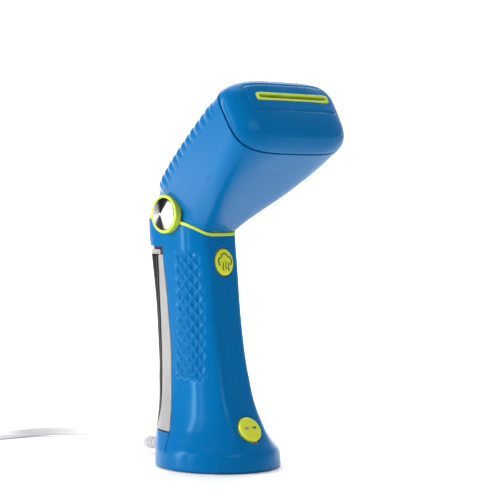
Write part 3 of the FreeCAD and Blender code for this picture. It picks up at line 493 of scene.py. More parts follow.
# painted shade: darker blue for the arrow's moulded outline on the head
ARROW_PAINTED_SHADE = moulded("arrow_painted_shade", (0.0, 0.06, 0.2), (0.0, 0.05, 0.17), 0.4)
WHITE = moulded("white_satin", (0.5, 0.49, 0.505), (0.46, 0.45, 0.465), 0.4)
FROSTED = moulded("frosted_lid", (0.5, 0.49, 0.48), (0.42, 0.41, 0.4), 0.3, Transmission_Weight=0.3)
DARK = moulded("dark_matt", (0.02, 0.02, 0.022), (0.03, 0.03, 0.033), 0.45, grain=0.00005)
CHROME = spun_chrome()
TANK = tank_plastic()
CORD_SHEATH = rubbery("cord_sheath", (0.72, 0.71, 0.725), (0.66, 0.65, 0.665), 0.38, 700)
WEBBING = webbing()
RUBBER = rubbery("black_rubber", (0.014, 0.014, 0.015), (0.035, 0.034, 0.033))
SILICONE_RED = rubbery("red_silicone", (0.45, 0.05, 0.025), (0.38, 0.045, 0.03))
HOSE = rubbery("silicone_hose", (0.7, 0.71, 0.68), (0.6, 0.62, 0.58), 0.35, Transmission_Weight=0.4)
STEEL = brushed_metal("plated_steel", (0.55, 0.55, 0.57), (0.42, 0.42, 0.45), 0.3)
ALUMINIUM = brushed_metal("cast_aluminium", (0.66, 0.66, 0.68), (0.5, 0.5, 0.52), 0.45, (1, 1, 1), 700)
BRASS = brushed_metal("plain_brass", (0.72, 0.52, 0.2), (0.6, 0.42, 0.16), 0.26)
BOARD = solder_mask()
LENS_LEFT = moulded("lens_violet", (0.3, 0.26, 0.36), (0.26, 0.22, 0.32), 0.15, coat=0.6)
LENS_RIGHT = moulded("lens_green", (0.02, 0.12, 0.05), (0.03, 0.16, 0.06), 0.15, coat=0.6)

SLOT_MATERIALS = {
    "blue_plastic": BLUE, "lime_plastic": LIME, "chrome": CHROME, "clear_plastic": TANK,
    "frosted_plastic": FROSTED, "white_plastic": WHITE, "white_cord": CORD_SHEATH, "dark_plastic": DARK,
    "black_rubber": RUBBER, "red_silicone": SILICONE_RED, "silicone_hose": HOSE, "steel": STEEL,
    "aluminium": ALUMINIUM, "brass": BRASS, "circuit_board": BOARD, "indicator_lens": LENS_LEFT,
}
for entry in frame["record"]["subparts"]:
    node = frame["nodes"][entry["node"]]
    node.data.materials.clear()
    node.data.materials.append(SLOT_MATERIALS[entry["material_slot"]])


# ---------------------------------------------------------------- mains cord
CORD_WIDTH, CORD_THICK = 7.0, 4.5        # flat twin cord
CORD_ROUTE = [(2.5, 79.5, 7.4), (8, 101, 6.9), (14, 123, 6.4), (16.5, 146, 5.8),
              (13, 166, 5.0), (1, 183, 4.2), (-18, 192.5, 3.7), (-31, 194, 3.2),
              (-47, 194, 2.6), (-64, 201, 2.5), (-77, 214, 2.5), (-84, 231, 2.5), (-84, 286, 2.5)]
COIL_X, COIL_Y = -35.0, 299.0
COIL_RADII = [49.0, 41.8, 34.6, 27.4]    # one turn on each, on two layers
COIL_LOW_Z, COIL_HIGH_Z = 2.5, 7.5
COIL_STEPS = 16                          # route points in one turn
SHIFT_STEPS = 4                          # the last ones of a turn move across to the next
LAST_STEPS = 11                          # the outermost turn on top stops short
TAIL_ROUTE = [(-21, 250, 9.8), (-42.6, 250, 12.4), (-56.5, 255.8, 13.0), (-67.2, 266.5, 14.2),
              (-73, 280.4, 15.6), (-73, 295.5, 17.3)]
PLUG_START = TAIL_ROUTE[-1]


def coil_points():
    """Turns wound clockwise and inwards on the floor, then outwards on top of them."""
    turns = [(r, COIL_LOW_Z) for r in COIL_RADII] + [(r, COIL_HIGH_Z) for r in reversed(COIL_RADII)]
    points = []
    for index, (r, z) in enumerate(turns):
        last = index == len(turns) - 1
        next_r, next_z = (r, z) if last else turns[index + 1]
        for k in range(LAST_STEPS if last else COIL_STEPS):
            share = smooth((k - COIL_STEPS + SHIFT_STEPS) / SHIFT_STEPS)
            a = math.pi - 2 * math.pi * k / COIL_STEPS
            radius, height = r + (next_r - r) * share, z + (next_z - z) * share
            points.append((COIL_X + radius * math.cos(a), COIL_Y + radius * math.sin(a), height))
    return points


def route_line():
    """The cord's centreline, read from one smooth spline through its route."""
    route = CORD_ROUTE + coil_points() + TAIL_ROUTE
    data = bpy.data.curves.new("cord_line", "CURVE")
    data.dimensions = "3D"
    spline = data.splines.new("NURBS")
    spline.points.add(len(route) - 1)
    for point, place in zip(spline.points, route):
        point.co = (*(Vector(place) * MM), 1)
    spline.order_u = 3
    spline.use_endpoint_u = True
    spline.resolution_u = 8
    holder = bpy.data.objects.new("cord_line", data)
    bare = bpy.data.meshes.new_from_object(holder)
    line = np.array([v.co for v in bare.vertices]) / MM
    bpy.data.objects.remove(holder)
    bpy.data.curves.remove(data)
    bpy.data.meshes.remove(bare)
    return line


def cord_section(steps=28):
    """Two round cores side by side in one sheath, with a groove between them."""
    a = np.linspace(0, 2 * math.pi, steps, endpoint=False)
    lobe = CORD_THICK / 2
    spread = CORD_WIDTH / 2 - lobe
    across = spread * np.tanh(4 * np.cos(a)) + lobe * np.cos(a)
    over = lobe * np.sin(a) * (1 - 0.3 * np.exp(-(across / 0.9)**2))
    return across, over


def sweep(line, sections, twist):
    """Grid of a tube along a line; sections gives (across, over) for each share of the line."""
    ahead = unit(np.gradient(line, axis=0))
    side = unit(np.cross(ahead, [0, 0, 1]))
    up = np.cross(side, ahead)
    run = np.concatenate([[0], np.cumsum(np.linalg.norm(np.diff(line, axis=0), axis=1))])
    rows = []
    for k, point in enumerate(line):
        a = twist(run[k])
        flat, tall = math.cos(a) * side[k] + math.sin(a) * up[k], math.cos(a) * up[k] - math.sin(a) * side[k]
        across, over = sections(run[k])
        ring = point + across[:, None] * flat + over[:, None] * tall
        rows.append(np.concatenate([ring, ring[:1]]))
    return np.stack(rows), run[-1]


def add_cord():
    line = route_line()
    section = cord_section()
    on_edge_until, flat_after = 110.0, 185.0

    def twist(run):
        return math.pi / 2 * (1 - float(smooth((run - on_edge_until) / (flat_after - on_edge_until))))

    grid, length = sweep(line, lambda run: section, twist)
    piece = make_piece("mains_cord", [grid], CORD_SHEATH, "handle")
    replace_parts(piece, "power_cord", "cord_coil")
    Vector(CORD_ROUTE[0]) * MM


# ---------------------------------------------------------------- handle shells
EDGE = 0.5                               # radius of the moulded edges
SEAM_LEVELS = np.linspace(0, 180, 361)


def seam_angles():
    """Angle on the right-hand side where the seam between the shells runs, for SEAM_LEVELS."""
    a = np.radians(np.linspace(-60, 80, 561))
    y = handle_at(SEAM_LEVELS[:, None], a)[..., 1]
    seam = curve(SEAM_SIDE, SEAM_LEVELS)
    return np.array([np.interp(target, row, a) for target, row in zip(seam, y)])


SEAM_ANGLES = seam_angles()


def seam_angle(z, shift=0.0):
    """The seam's angle, moved rearwards by a small distance."""
    return np.interp(z, SEAM_LEVELS, SEAM_ANGLES) + shift / 27.0


GRIP_Z, GRIP_LOW, GRIP_HIGH = 104.0, 60.0, 149.0
GRIP_CELL_X, GRIP_CELL_Z = 3.9, 4.4     # half width and half height of one diamond
GRIP_DEPTH = 1.35
GRIP_FRONT_Y, GRIP_REAR_Y = [(60, -9.5), (104, -4.5), (149, 1.5)], [(60, 20.5), (104, 21.0), (149, 24.0)]


def grip_depth(place):
    """Depth of the diamond dimples pressed into both sides of the grip."""
    y, z = place[..., 1], place[..., 2]
    rear, front = curve(GRIP_REAR_Y, z), curve(GRIP_FRONT_Y, z)
    around = np.where(y > 4, y, 4 + (y - 4) * 1.25)
    u = (around - 8.0 + 0.09 * (GRIP_Z - z)) / (2 * GRIP_CELL_X)
    v = (z - GRIP_Z) / (2 * GRIP_CELL_Z)
    p, q = u + v, u - v
    from_middle = np.maximum(np.abs((p % 1) - 0.5), np.abs((q % 1) - 0.5))
    bowl = np.clip((0.5 - from_middle) / 0.4, 0, 1)**0.9
    fade = smooth((y - front) / 7.0) * smooth((rear - y) / 5.0)
    fade = fade * smooth((z - GRIP_LOW) / 5.0 + 0.3) * smooth((GRIP_HIGH - z) / 5.0 + 0.3)
    return GRIP_DEPTH * bowl * fade


def button_frame(button):
    """Centre, axis across, axis up the button's face and outward axis, all in millimetres."""
    y, z, tilt = button[:3]
    a = math.radians(tilt)
    return (np.array([0, y, z]), np.array([1.0, 0, 0]), np.array([0, math.sin(a), math.cos(a)]),
            np.array([0, -math.cos(a), math.sin(a)]))


def button_well(place, button, dish=0.0, clearance=0.45, depth=4.0):
    """How far the shell is set back round a button: a drop into its hole and a soft dish."""
    centre, across, up, out = button_frame(button)
    d = place - centre
    x, v, w = d @ across, d @ up, d @ out
    reach = np.hypot(x / (button[3] + clearance), v / (button[4] + clearance))
    near = (np.abs(w) < 14).astype(float)
    wall = smooth((1.035 - reach) / 0.05) * depth
    lip = smooth((1.22 - reach) / 0.2) * dish
    return (wall + lip) * near


def worked_shell(grid, normal):
    """The bare outline with its grip, button wells and lips."""
    depth = grip_depth(grid)
    depth = depth + button_well(grid, STEAM_BUTTON, 0.35) + button_well(grid, POWER_BUTTON, 0.3)
    return grid - normal * depth[..., None]


def handle_normal(grid_function, *position):
    """Outward normals of a surface from small steps in its two parameters."""
    step = 0.02
    base = grid_function(*position)
    along = grid_function(position[0] + step, position[1]) - base
    across = grid_function(position[0], position[1] + step / 20) - base
    return unit(np.cross(across, along))


def count(number):
    return max(4, int(number * FINE))


def front_shell():
    columns, rows = count(560), count(480)
    u = np.linspace(-1, 1, columns)
    v = np.linspace(0, 1, rows)
    top = np.full(columns, 165.0)
    for _ in range(8):
        angle = -math.pi / 2 + u * (seam_angle(top, -EDGE) + math.pi / 2)
        top = trim_z(handle_at(top, angle)[..., 1])
    z = FOOT_TOP + (top[None, :] - FOOT_TOP) * v[:, None]
    angle = -math.pi / 2 + u[None, :] * (seam_angle(z, -EDGE) + math.pi / 2)
    patch = handle_at(z, angle)
    patch = worked_shell(patch, handle_normal(handle_at, z, angle))

    foot_z = np.linspace(SHELL_BOTTOM + 1.6, FOOT_TOP, count(40))
    front_angle = angle[0]
    rear_angle = np.linspace(front_angle[-1], front_angle[0] + 2 * math.pi, count(200))
    foot_front = handle_at(foot_z[:, None], front_angle)
    foot_rear = handle_at(foot_z[:, None], rear_angle)
    foot_front = worked_shell(foot_front, handle_normal(handle_at, foot_z[:, None], front_angle))
    grids = [patch, foot_front, foot_rear]
    for foot in (foot_front, foot_rear):
        normal = grid_normals(foot)
        outward = unit(foot[0] * np.array([1, 1, 0]))
        sign = np.sign(np.sum(normal[0] * outward))
        grids.append(rim(foot[0], foot[1], normal[0] * sign, 1.6, 4.0, 6))
    rear_normal = unit(foot_rear[-1] * np.array([1, 1, 0]))
    grids.append(rim(foot_rear[-1], foot_rear[-2], rear_normal, EDGE, 3.0))
    sign = np.sign(np.sum(grid_normals(patch)[rows // 2, columns // 2] * np.array([0, -1, 0])))
    grids += all_rims(patch, ("top", "left", "right"), EDGE, 2.4, sign)
    piece = make_piece("handle_front", grids, BLUE, "handle")
    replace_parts(piece, "front_shell")


def rear_patch(z_low, z_high, rows, sides, top_line=False):
    """A stretch of the rear shell between two heights, as an open grid with rounded edges."""
    columns = count(200)
    u = np.linspace(-1, 1, columns)
    top = np.full(columns, float(z_high))
    if top_line:
        for _ in range(8):
            angle = math.pi / 2 + u * (math.pi / 2 - seam_angle(top, EDGE))
            top = trim_z(handle_at(top, angle)[..., 1])
    z = z_low + (top[None, :] - z_low) * np.linspace(0, 1, rows)[:, None]
    angle = math.pi / 2 + u[None, :] * (math.pi / 2 - seam_angle(z, EDGE))
    patch = handle_at(z, angle)
    sign = np.sign(np.sum(grid_normals(patch)[rows // 2, columns // 2] * np.array([0, 1, 0])))
    return [patch] + all_rims(patch, sides, EDGE, 2.4, sign)


def bay_front(x, z):
    """Where the bay begins: the seam on the sides, and further back in the middle."""
    side, middle = curve(SEAM_SIDE, z), curve(TANK_FRONT, z)
    return side + (middle - side) * smooth((21 - np.abs(x)) / 7)


def bay_wall():
    """The curved wall, floor and ceiling that the tank sits against."""
    z = np.linspace(BAY_FLOOR, BAY_CEILING, count(90))
    half = handle_at(z, seam_angle(z))[..., 0] - 0.8
    u = np.linspace(-1, 1, count(160))
    across = half[:, None] * u
    wall = stack(across, bay_front(across, z[:, None]) + 0.05, z[:, None])
    grids = [wall]
    for level, edge in ((BAY_FLOOR, wall[0]), (BAY_CEILING, wall[-1])):
        angle = math.pi / 2 - u * (math.pi / 2 - seam_angle(level))
        rear = handle_at(level, angle, 0.4)
        share = np.linspace(0, 1, count(30))[:, None, None]
        grids.append(edge + (rear - edge) * share)
    return grids


def bay_shade_sheet():
    """A black sheet under the bay's ceiling as painted shade for the shadowed gap above the tank, in two
    halves that leave the catch free.
    """
    for side in (-1, 1):
        rows = []
        start = seam_angle(BAY_CEILING) + 0.02
        a = np.linspace(start, math.pi / 2 - 0.3, count(60))
        a = a if side > 0 else math.pi - a
        for inset, level in [(2.4, BAY_CEILING + 0.1), (2.4, 149.9), (2.6, 149.75), (4.0, 149.75),
                             (4.2, 149.9), (4.2, BAY_CEILING + 0.1)]:
            rows.append(handle_at(level, a, inset))
        name = "bay_shade_sheet_left" if side < 0 else "bay_shade_sheet_right"
        # painted shade: a black sheet where the gap above the tank is only in shadow
        piece = make_piece(name, [np.stack(rows)], RUBBER, "handle", sharp=60)


def rear_shell():
    grids = rear_patch(FOOT_TOP + EDGE, BAY_FLOOR - EDGE, count(40), ("top", "bottom", "left", "right"))
    grids += rear_patch(BAY_CEILING + EDGE, 171, count(60), ("top", "bottom", "left", "right"), True)
    grids += bay_wall()
    piece = make_piece("handle_rear", grids, BLUE, "handle", sharp=50)
    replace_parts(piece, "rear_shell")


# ---------------------------------------------------------------- hinge trim and caps
def hinge_band():
    """The lime band that follows the parting line round the top of the handle."""
    a = np.linspace(0, 2 * math.pi, count(420) + 1)
    low = np.full(len(a), 168.0)
    for _ in range(10):
        low = trim_z(handle_at(low, a)[..., 1])
    round_off = 0.55
    outline = [(1.6, 0.0), (round_off, 0.0)]
    outline += [(round_off * (1 - math.sin(t)), round_off * (1 - math.cos(t)))
                for t in np.linspace(0, math.pi / 2, 5)]
    outline += [(round_off * (1 - math.cos(t)), TRIM_THICK - round_off * (1 - math.sin(t)))
                for t in np.linspace(0, math.pi / 2, 5)]
    outline += [(1.6, TRIM_THICK)]
    rows = [handle_at(low + lift, a, inset - TRIM_PROUD) for inset, lift in outline]
    return np.stack(rows)


def lathe_x(profile, turns=96):
    """Grid turned about the hinge axis from (x, radius) pairs."""
    a = np.linspace(0, 2 * math.pi, turns + 1)
    x, r = np.array(profile, float).T
    return stack(x[:, None] + 0 * a, HINGE_Y + r[:, None] * np.cos(a), HINGE_Z + r[:, None] * np.sin(a))


def rounded(corner_x, corner_r, radius, start, end, steps=6):
    """Quarter-round profile points about a corner's centre."""
    return [(corner_x + radius * math.cos(t), corner_r + radius * math.sin(t))
            for t in np.linspace(math.radians(start), math.radians(end), steps)]


def ear_ring(side):
    rim_r = 0.9
    profile = [(EAR_INNER_X, 5.05), (EAR_INNER_X, EAR_R)]
    profile += rounded(EAR_RIM_X - rim_r, EAR_R - rim_r, rim_r, 90, 0)
    profile += rounded(EAR_RIM_X - 0.3, CAP_R + 0.35, 0.3, 0, -90, 4)
    profile += [(EAR_FLOOR_X, CAP_R + 0.1), (EAR_FLOOR_X, 5.05)]
    return lathe_x([(side * x, r) for x, r in profile])


def chrome_cap(side):
    """A shallow spun cone with a rolled edge and a small centre dimple."""
    start, edge = EAR_FLOOR_X + 0.1, EAR_RIM_X + 0.1
    profile = [(start, 0.01), (start, CAP_R - 0.05), (edge - 0.3, CAP_R - 0.05)]
    profile += rounded(edge - 0.25, CAP_R - 0.35, 0.3, 90, 20, 5)
    cone = [(edge + 0.25 + CAP_DOME * (1 - (r / CAP_R)**1.25), r) for r in np.linspace(CAP_R - 0.7, 0.9, 26)]
    profile += cone
    peak = cone[-1][0]
    profile += [(peak - 0.02, 0.6), (peak - 0.1, 0.35), (peak - 0.13, 0.01)]
    name = "left" if side < 0 else "right"
    piece = make_piece("chrome_disc_" + name, [lathe_x([(side * x, r) for x, r in profile], 128)],
                       CHROME, "handle", sharp=40)
    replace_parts(piece, "hinge_cap_" + name)


def hinge_trim():
    piece = make_piece("lime_trim", [hinge_band(), ear_ring(1), ear_ring(-1)], LIME, "handle", sharp=50)
    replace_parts(piece, "hinge_trim")


# ---------------------------------------------------------------- head
RIB_PITCH, RIB_HEIGHT = 8.0, 1.15
RIB_START, RIB_EDGE = 96.0, 0.45


def head_start():
    """For each angle, where the head's own skin begins just above the trim."""
    a = np.linspace(0, 2 * math.pi, count(520) + 1) - math.pi
    share = np.linspace(0, 0.3, 301)
    skin = head_at(share[:, None], a)
    above = skin[..., 2] - trim_z(skin[..., 1]) - TRIM_THICK - HEAD_GAP - EDGE
    first = []
    for k in range(len(a)):
        below = np.nonzero(above[:, k] < 0)[0]
        first.append(0.0 if len(below) == 0 else share[min(below[-1] + 1, len(share) - 1)])
    first = np.where(np.sin(a) > 0.05, 0.0, np.array(first))
    return a, first


def rib_lift(place, angle, share):
    """Ribs across the back of the head that fade out on its sides."""
    rise = place[..., 1] * -0.7071 + place[..., 2] * 0.7071
    wave = np.abs(np.sin(math.pi * (rise - RIB_START) / RIB_PITCH))
    reach = smooth((np.sin(angle) - RIB_EDGE + 0.35 * share) / 0.22)
    ends = smooth((share - 0.1) / 0.06) * smooth((0.93 - share) / 0.05)
    return RIB_HEIGHT * wave**0.8 * reach * ends


def head_shell():
    a, first = head_start()
    rows = np.linspace(0, 1, count(420))[:, None]
    share = first[None, :] + (0.995 - first[None, :]) * rows
    skin = head_at(share, a)
    normal = handle_normal(head_at, share, a + 0 * share)
    outward = np.sign(np.sum(normal[len(rows) // 2, len(a) // 4] * np.array([0, -1, -1])))
    normal = normal * outward
    skin = skin + normal * rib_lift(skin, a, share)[..., None]
    grids = [skin, rim(skin[-1], skin[-2], normal[-1], 0.45, 1.6)]
    front = np.sin(a) <= 0.05
    split = np.nonzero(front)[0]
    low = rim(skin[0], skin[3], normal[0], EDGE, 2.0)
    grids.append(low[:, split[0]:split[-1] + 1])
    back = [k for k in range(len(a)) if not front[k]]
    edge = skin[0, back[0] - 1:back[-1] + 2]
    turns = np.radians(-np.linspace(0, FAN_START + 14.0, count(40)))
    rows_down = []
    for turn in turns:
        y, z = edge[:, 1] - HINGE_Y, edge[:, 2] - HINGE_Z
        rows_down.append(stack(edge[:, 0], HINGE_Y + y * math.cos(turn) - z * math.sin(turn),
                               HINGE_Z + y * math.sin(turn) + z * math.cos(turn)))
    grids.append(np.stack(rows_down))
    piece = make_piece("head_body", grids, BLUE, "head")
    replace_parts(piece, "head_shell", "pivot_barrel")


ARROW = [(0.52, -161.5), (0.57, -156.5), (0.585, -151.5), (0.585, -146.5), (0.535, -150.5),
         (0.505, -154), (0.505, -157.5)]   # (share along the head, degrees round it)


def head_arrow(side):
    """A small arrow outlined in the side of the head, pointing back; its outline is painted shade in a darker
    blue.
    """
    points = np.array([head_at(share, math.radians(angle), 0.1) for share, angle in ARROW])
    points[:, 0] *= -side
    name = "head_arrow_left" if side < 0 else "head_arrow_right"
    engraved_line(name, points, 0.24, ARROW_PAINTED_SHADE, "head", True)


# ---------------------------------------------------------------- nozzle
PAD_HALF_X, PAD_HALF_T, PAD_CORNER = 39.5, 10.2, 4.0
PAD_GROOVE, PAD_RAISE = 0.45, 0.5
SEAM_GAP = 0.2
STEEP_END = 0.86                         # the cap's steep outer part, as a share of its radius


def seam_table():
    """Radius of the nozzle seam about the slot's centre, by direction."""
    a = np.linspace(-math.pi, math.pi, 2001)
    seam = head_at(np.ones_like(a), a)
    t = (seam[:, 1:] - head_place(0, 0, 0)[1:]) @ FACE_UP - SLOT_T
    x = seam[:, 0]
    direction, radius = np.arctan2(t, x), np.hypot(x, t)
    order = np.argsort(direction)
    return direction[order], radius[order]


SEAM_DIRECTION, SEAM_RADIUS = seam_table()


def cap_scale(x, t):
    edge = np.interp(np.arctan2(t, x), SEAM_DIRECTION, SEAM_RADIUS, period=2 * math.pi)
    return np.hypot(x, t) / edge


def round_box(x, t, half_x, half_t, corner):
    """Signed distance outside a rounded rectangle."""
    dx, dt = np.abs(x) - half_x + corner, np.abs(t) - half_t + corner
    return np.hypot(np.maximum(dx, 0), np.maximum(dt, 0)) + np.minimum(np.maximum(dx, dt), 0) - corner


def cap_relief(x, t):
    """The pad round the slot: a fine groove, and a slightly raised face inside it."""
    out = round_box(x, t, PAD_HALF_X, PAD_HALF_T, PAD_CORNER)
    groove = -PAD_GROOVE * np.exp(-(out / 0.55)**2)
    raised = PAD_RAISE * smooth((-out - 0.4) / 1.2)
    return groove + raised


def stadium(angle, half_x, half_t):
    """Points of a slot-shaped outline, one for each direction of the seam."""
    reach = soft_polygon(angle, [(0, half_x), (180, half_x), (90, half_t), (-90, half_t)], 9.0)
    return reach * np.cos(angle), reach * np.sin(angle)


def nozzle_cap():
    a = np.linspace(-math.pi, math.pi, count(560) + 1)
    edge = np.interp(a, SEAM_DIRECTION, SEAM_RADIUS, period=2 * math.pi)
    seam_x, seam_t = edge * np.cos(a), edge * np.sin(a)
    hole_x, hole_t = stadium(a, SLOT_HALF_X + LINER_WALL - 0.1, SLOT_HALF_T + LINER_WALL - 0.1)
    first = 0.998
    steep = first - (first - STEEP_END) * np.linspace(0, 1, count(60))**2
    rows = []
    for scale in steep:
        x, t = seam_x * scale, seam_t * scale
        depth = CAP_DEPTH * (1 - scale**4.5)**0.55 - 0.5 * (1 - scale)
        rows.append(head_place(x, SLOT_T + t, SEAM_GAP + depth))
    for share in np.linspace(0, 1, count(240))[1:]:
        x = seam_x * STEEP_END * (1 - share) + hole_x * share
        t = seam_t * STEEP_END * (1 - share) + hole_t * share
        height = CAP_DEPTH * (1 - np.minimum(cap_scale(x, t), 1)**4.5)**0.55 + 0.43
        rows.append(head_place(x, SLOT_T + t, height + cap_relief(x, t)))
    cap = np.stack(rows)
    low = cap[0]
    inward = unit(head_place(0, SLOT_T, 0) - low)
    inner = cap[-1]
    throat = np.stack([inner, inner - np.append(0, FACE_OUT) * 3.0])
    piece = make_piece("nozzle_face", [cap, np.stack([low, low + inward * 1.8]), throat], BLUE, "head")
    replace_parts(piece, "nozzle_cap")


def slot_liner():
    a = np.linspace(-math.pi, math.pi, count(360) + 1)
    rows = []
    proud, round_off = CAP_DEPTH + 0.9, 0.5
    outer = [(LINER_WALL, 11.6), (LINER_WALL, proud - round_off)]
    outer += [(LINER_WALL - round_off * (1 - math.cos(t)), proud - round_off * (1 - math.sin(t)))
              for t in np.linspace(0, math.pi / 2, 6)]
    outer += [(0.35 - 0.35 * math.sin(t), proud - 0.35 * (1 - math.cos(t)))
              for t in np.linspace(0, math.pi / 2, 5)]
    outer += [(0.0, 11.6)]
    for wall, height in outer:
        x, t = stadium(a, SLOT_HALF_X + wall, SLOT_HALF_T + wall)
        rows.append(head_place(x, SLOT_T + t, height))
    piece = make_piece("steam_slot", [np.stack(rows)], LIME, "head", sharp=60)
    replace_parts(piece, "nozzle_liner")


# ---------------------------------------------------------------- buttons
def dome_button(button, prefix, bevel, dome):
    """An oval button: stem below, bevelled rim and a gently domed face."""
    centre, across, up, out = button_frame(button)
    half_x, half_v = button[3], button[4]
    a = np.linspace(0, 2 * math.pi, 145)
    profile = [(1.1, -3.6), (1.1, -2.9), (1.0, -2.8), (1.0, 0.9 - bevel)]
    profile += [(1 - (1 - math.cos(t)) * bevel / half_x, 0.9 - bevel * (1 - math.sin(t)))
                for t in np.linspace(0, math.pi / 2, 7)]
    last = profile[-1][0]
    profile += [(last * s, 0.9 + dome * (1 - s * s)) for s in np.linspace(1, 0.001, 30)[1:]]
    rows = []
    for scale, height in profile:
        x, v = half_x * scale * np.cos(a), half_v * scale * np.sin(a)
        rows.append(centre + x[:, None] * across + v[:, None] * up + height * out)
    piece = make_piece(prefix + "_key", [np.stack(rows)], LIME_BUTTON, prefix + "_button", sharp=60)
    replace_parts(piece, prefix + "_button")


def engraved_line(name, points, radius, ink, body, closed=False):
    """A fine smooth line through points in millimetres."""
    data = bpy.data.curves.new(name, "CURVE")
    data.dimensions = "3D"
    spline = data.splines.new("NURBS")
    spline.points.add(len(points) - 1)
    for point, place in zip(spline.points, points):
        point.co = (*Vector(place) * MM, 1)
    spline.order_u = 3
    spline.use_endpoint_u = not closed
    spline.use_cyclic_u = closed
    data.bevel_depth = radius * MM
    data.bevel_resolution = 3
    data.use_fill_caps = not closed
    piece = bpy.data.objects.new(name, data)
    bpy.context.scene.collection.objects.link(piece)
    data.materials.append(ink)
    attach(piece, body)


def stroke(name, button, points, radius, height):
    """A line on a button's face, through (across, up) points."""
    centre, across, up, out = button_frame(button)
    line = [centre + x * across + v * up + height * out for x, v in points]
    engraved_line(name, line, radius, ICON_INK, button_body(button))


def button_body(button):
    return "steam_button" if button is STEAM_BUTTON else "power_button"


def steam_icon():
    """A plain puff of steam over three rising strokes."""
    puff = [(-5.2, -2.3), (-6.6, -0.6), (-5.9, 2.6), (-3.6, 2.9), (-2.6, 5.6), (0.9, 6.0),
            (2.4, 3.4), (5.2, 3.3), (6.0, -0.4), (4.3, -2.3)]
    stroke("icon_puff", STEAM_BUTTON, puff, 0.4, 1.2)
    for k, (x, top) in enumerate(((-2.4, -0.4), (0.0, 0.4), (2.4, -0.4))):
        wave = [(x + 0.5 * math.sin(1.9 * step), top - 1.4 * step) for step in range(5)]
        stroke(f"icon_stroke_{k + 1}", STEAM_BUTTON, wave, 0.38, 1.22)


def indicator_lens(name, x, material):
    centre, across, up, out = button_frame(POWER_BUTTON)
    a = np.linspace(0, 2 * math.pi, 49)
    rows = []
    for scale, height in [(1, 0.9), (1, 1.15), (0.93, 1.3), (0.75, 1.42), (0.4, 1.5), (0.01, 1.52)]:
        ring_x, ring_v = x + 1.9 * scale * np.cos(a), 0.6 + 1.1 * scale * np.sin(a)
        rows.append(centre + ring_x[:, None] * across + ring_v[:, None] * up + height * out)
    piece = make_piece(name, [np.stack(rows)], material, "power_button")
    return piece


# ---------------------------------------------------------------- water tank
TANK_MIDDLE_Y = 38.0


def tank_ring(z, inset, gap, points=300):
    """Closed outline of the tank at one height: the handle's rear skin and a straight front wall."""
    a = np.linspace(-math.pi, math.pi, 1441)
    skin = handle_at(z, a, inset)[:, :2]
    front = bay_front(skin[:, 0], z) + gap + inset
    y_front = np.maximum(skin[:, 1], front)
    outline = np.stack([skin[:, 0], y_front], axis=1)
    keep = skin[:, 1] > front
    width = np.abs(skin[keep, 0]).max()
    outline = outline[np.abs(outline[:, 0]) <= width + 1e-6]
    closed = np.concatenate([outline, outline[:1]])
    run = np.concatenate([[0], np.cumsum(np.linalg.norm(np.diff(closed, axis=0), axis=1))])
    at = np.linspace(0, run[-1], points + 1)
    ring = np.stack([np.interp(at, run, closed[:, 0]), np.interp(at, run, closed[:, 1])], axis=1)
    return stack(ring[:, 0], ring[:, 1], np.full(len(ring), float(z)))


def end_rings(z, inset, gap, shares):
    """Rings that shrink towards the tank's middle and close it at one height."""
    core = np.array([0, TANK_MIDDLE_Y, z])
    return [core + (tank_ring(z, inset, gap) - core) * share for share in shares]


def closed_body(z_low, z_high, inset, gap, edge, rows):
    """Stacked rings with rounded ends, closed top and bottom."""
    turns, shares = np.linspace(0, math.pi / 2, 5), (0.001, 0.3, 0.6, 0.85)
    grid = end_rings(z_low, inset + edge, gap, shares)
    for t in turns[::-1]:
        grid.append(tank_ring(z_low + edge * (1 - math.sin(t)), inset + edge * (1 - math.cos(t)), gap))
    for level in np.linspace(z_low + edge, z_high - edge, rows)[1:]:
        grid.append(tank_ring(level, inset, gap))
    for t in turns[1:]:
        grid.append(tank_ring(z_high - edge * (1 - math.sin(t)), inset + edge * (1 - math.cos(t)), gap))
    return np.stack(grid + end_rings(z_high, inset + edge, gap, shares[::-1]))


def water_tank():
    outer = closed_body(TANK_LOW, TANK_LID_Z, 0.05, 0.35, 1.0, count(110))
    inner = closed_body(TANK_LOW + 1.8, TANK_LID_Z - 0.2, 1.85, 0.35, 1.4, count(80))
    piece = make_piece("water_tank", [outer, inner], TANK, "tank")
    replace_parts(piece, "tank_shell")


# ---------------------------------------------------------------- strain relief and plug
RELIEF_START = np.array([0, 44.8, 9.2])
RELIEF_END = np.array(CORD_ROUTE[0])
RELIEF_R, RELIEF_TIP_R = 6.0, 4.3
RIBS_FROM, BOOT_RIB_PITCH = 5.0, 4.2
NECK_R, PLUG_HALF_X, PLUG_HALF_Z, PLUG_LENGTH = 4.4, 12.5, 7.2, 38


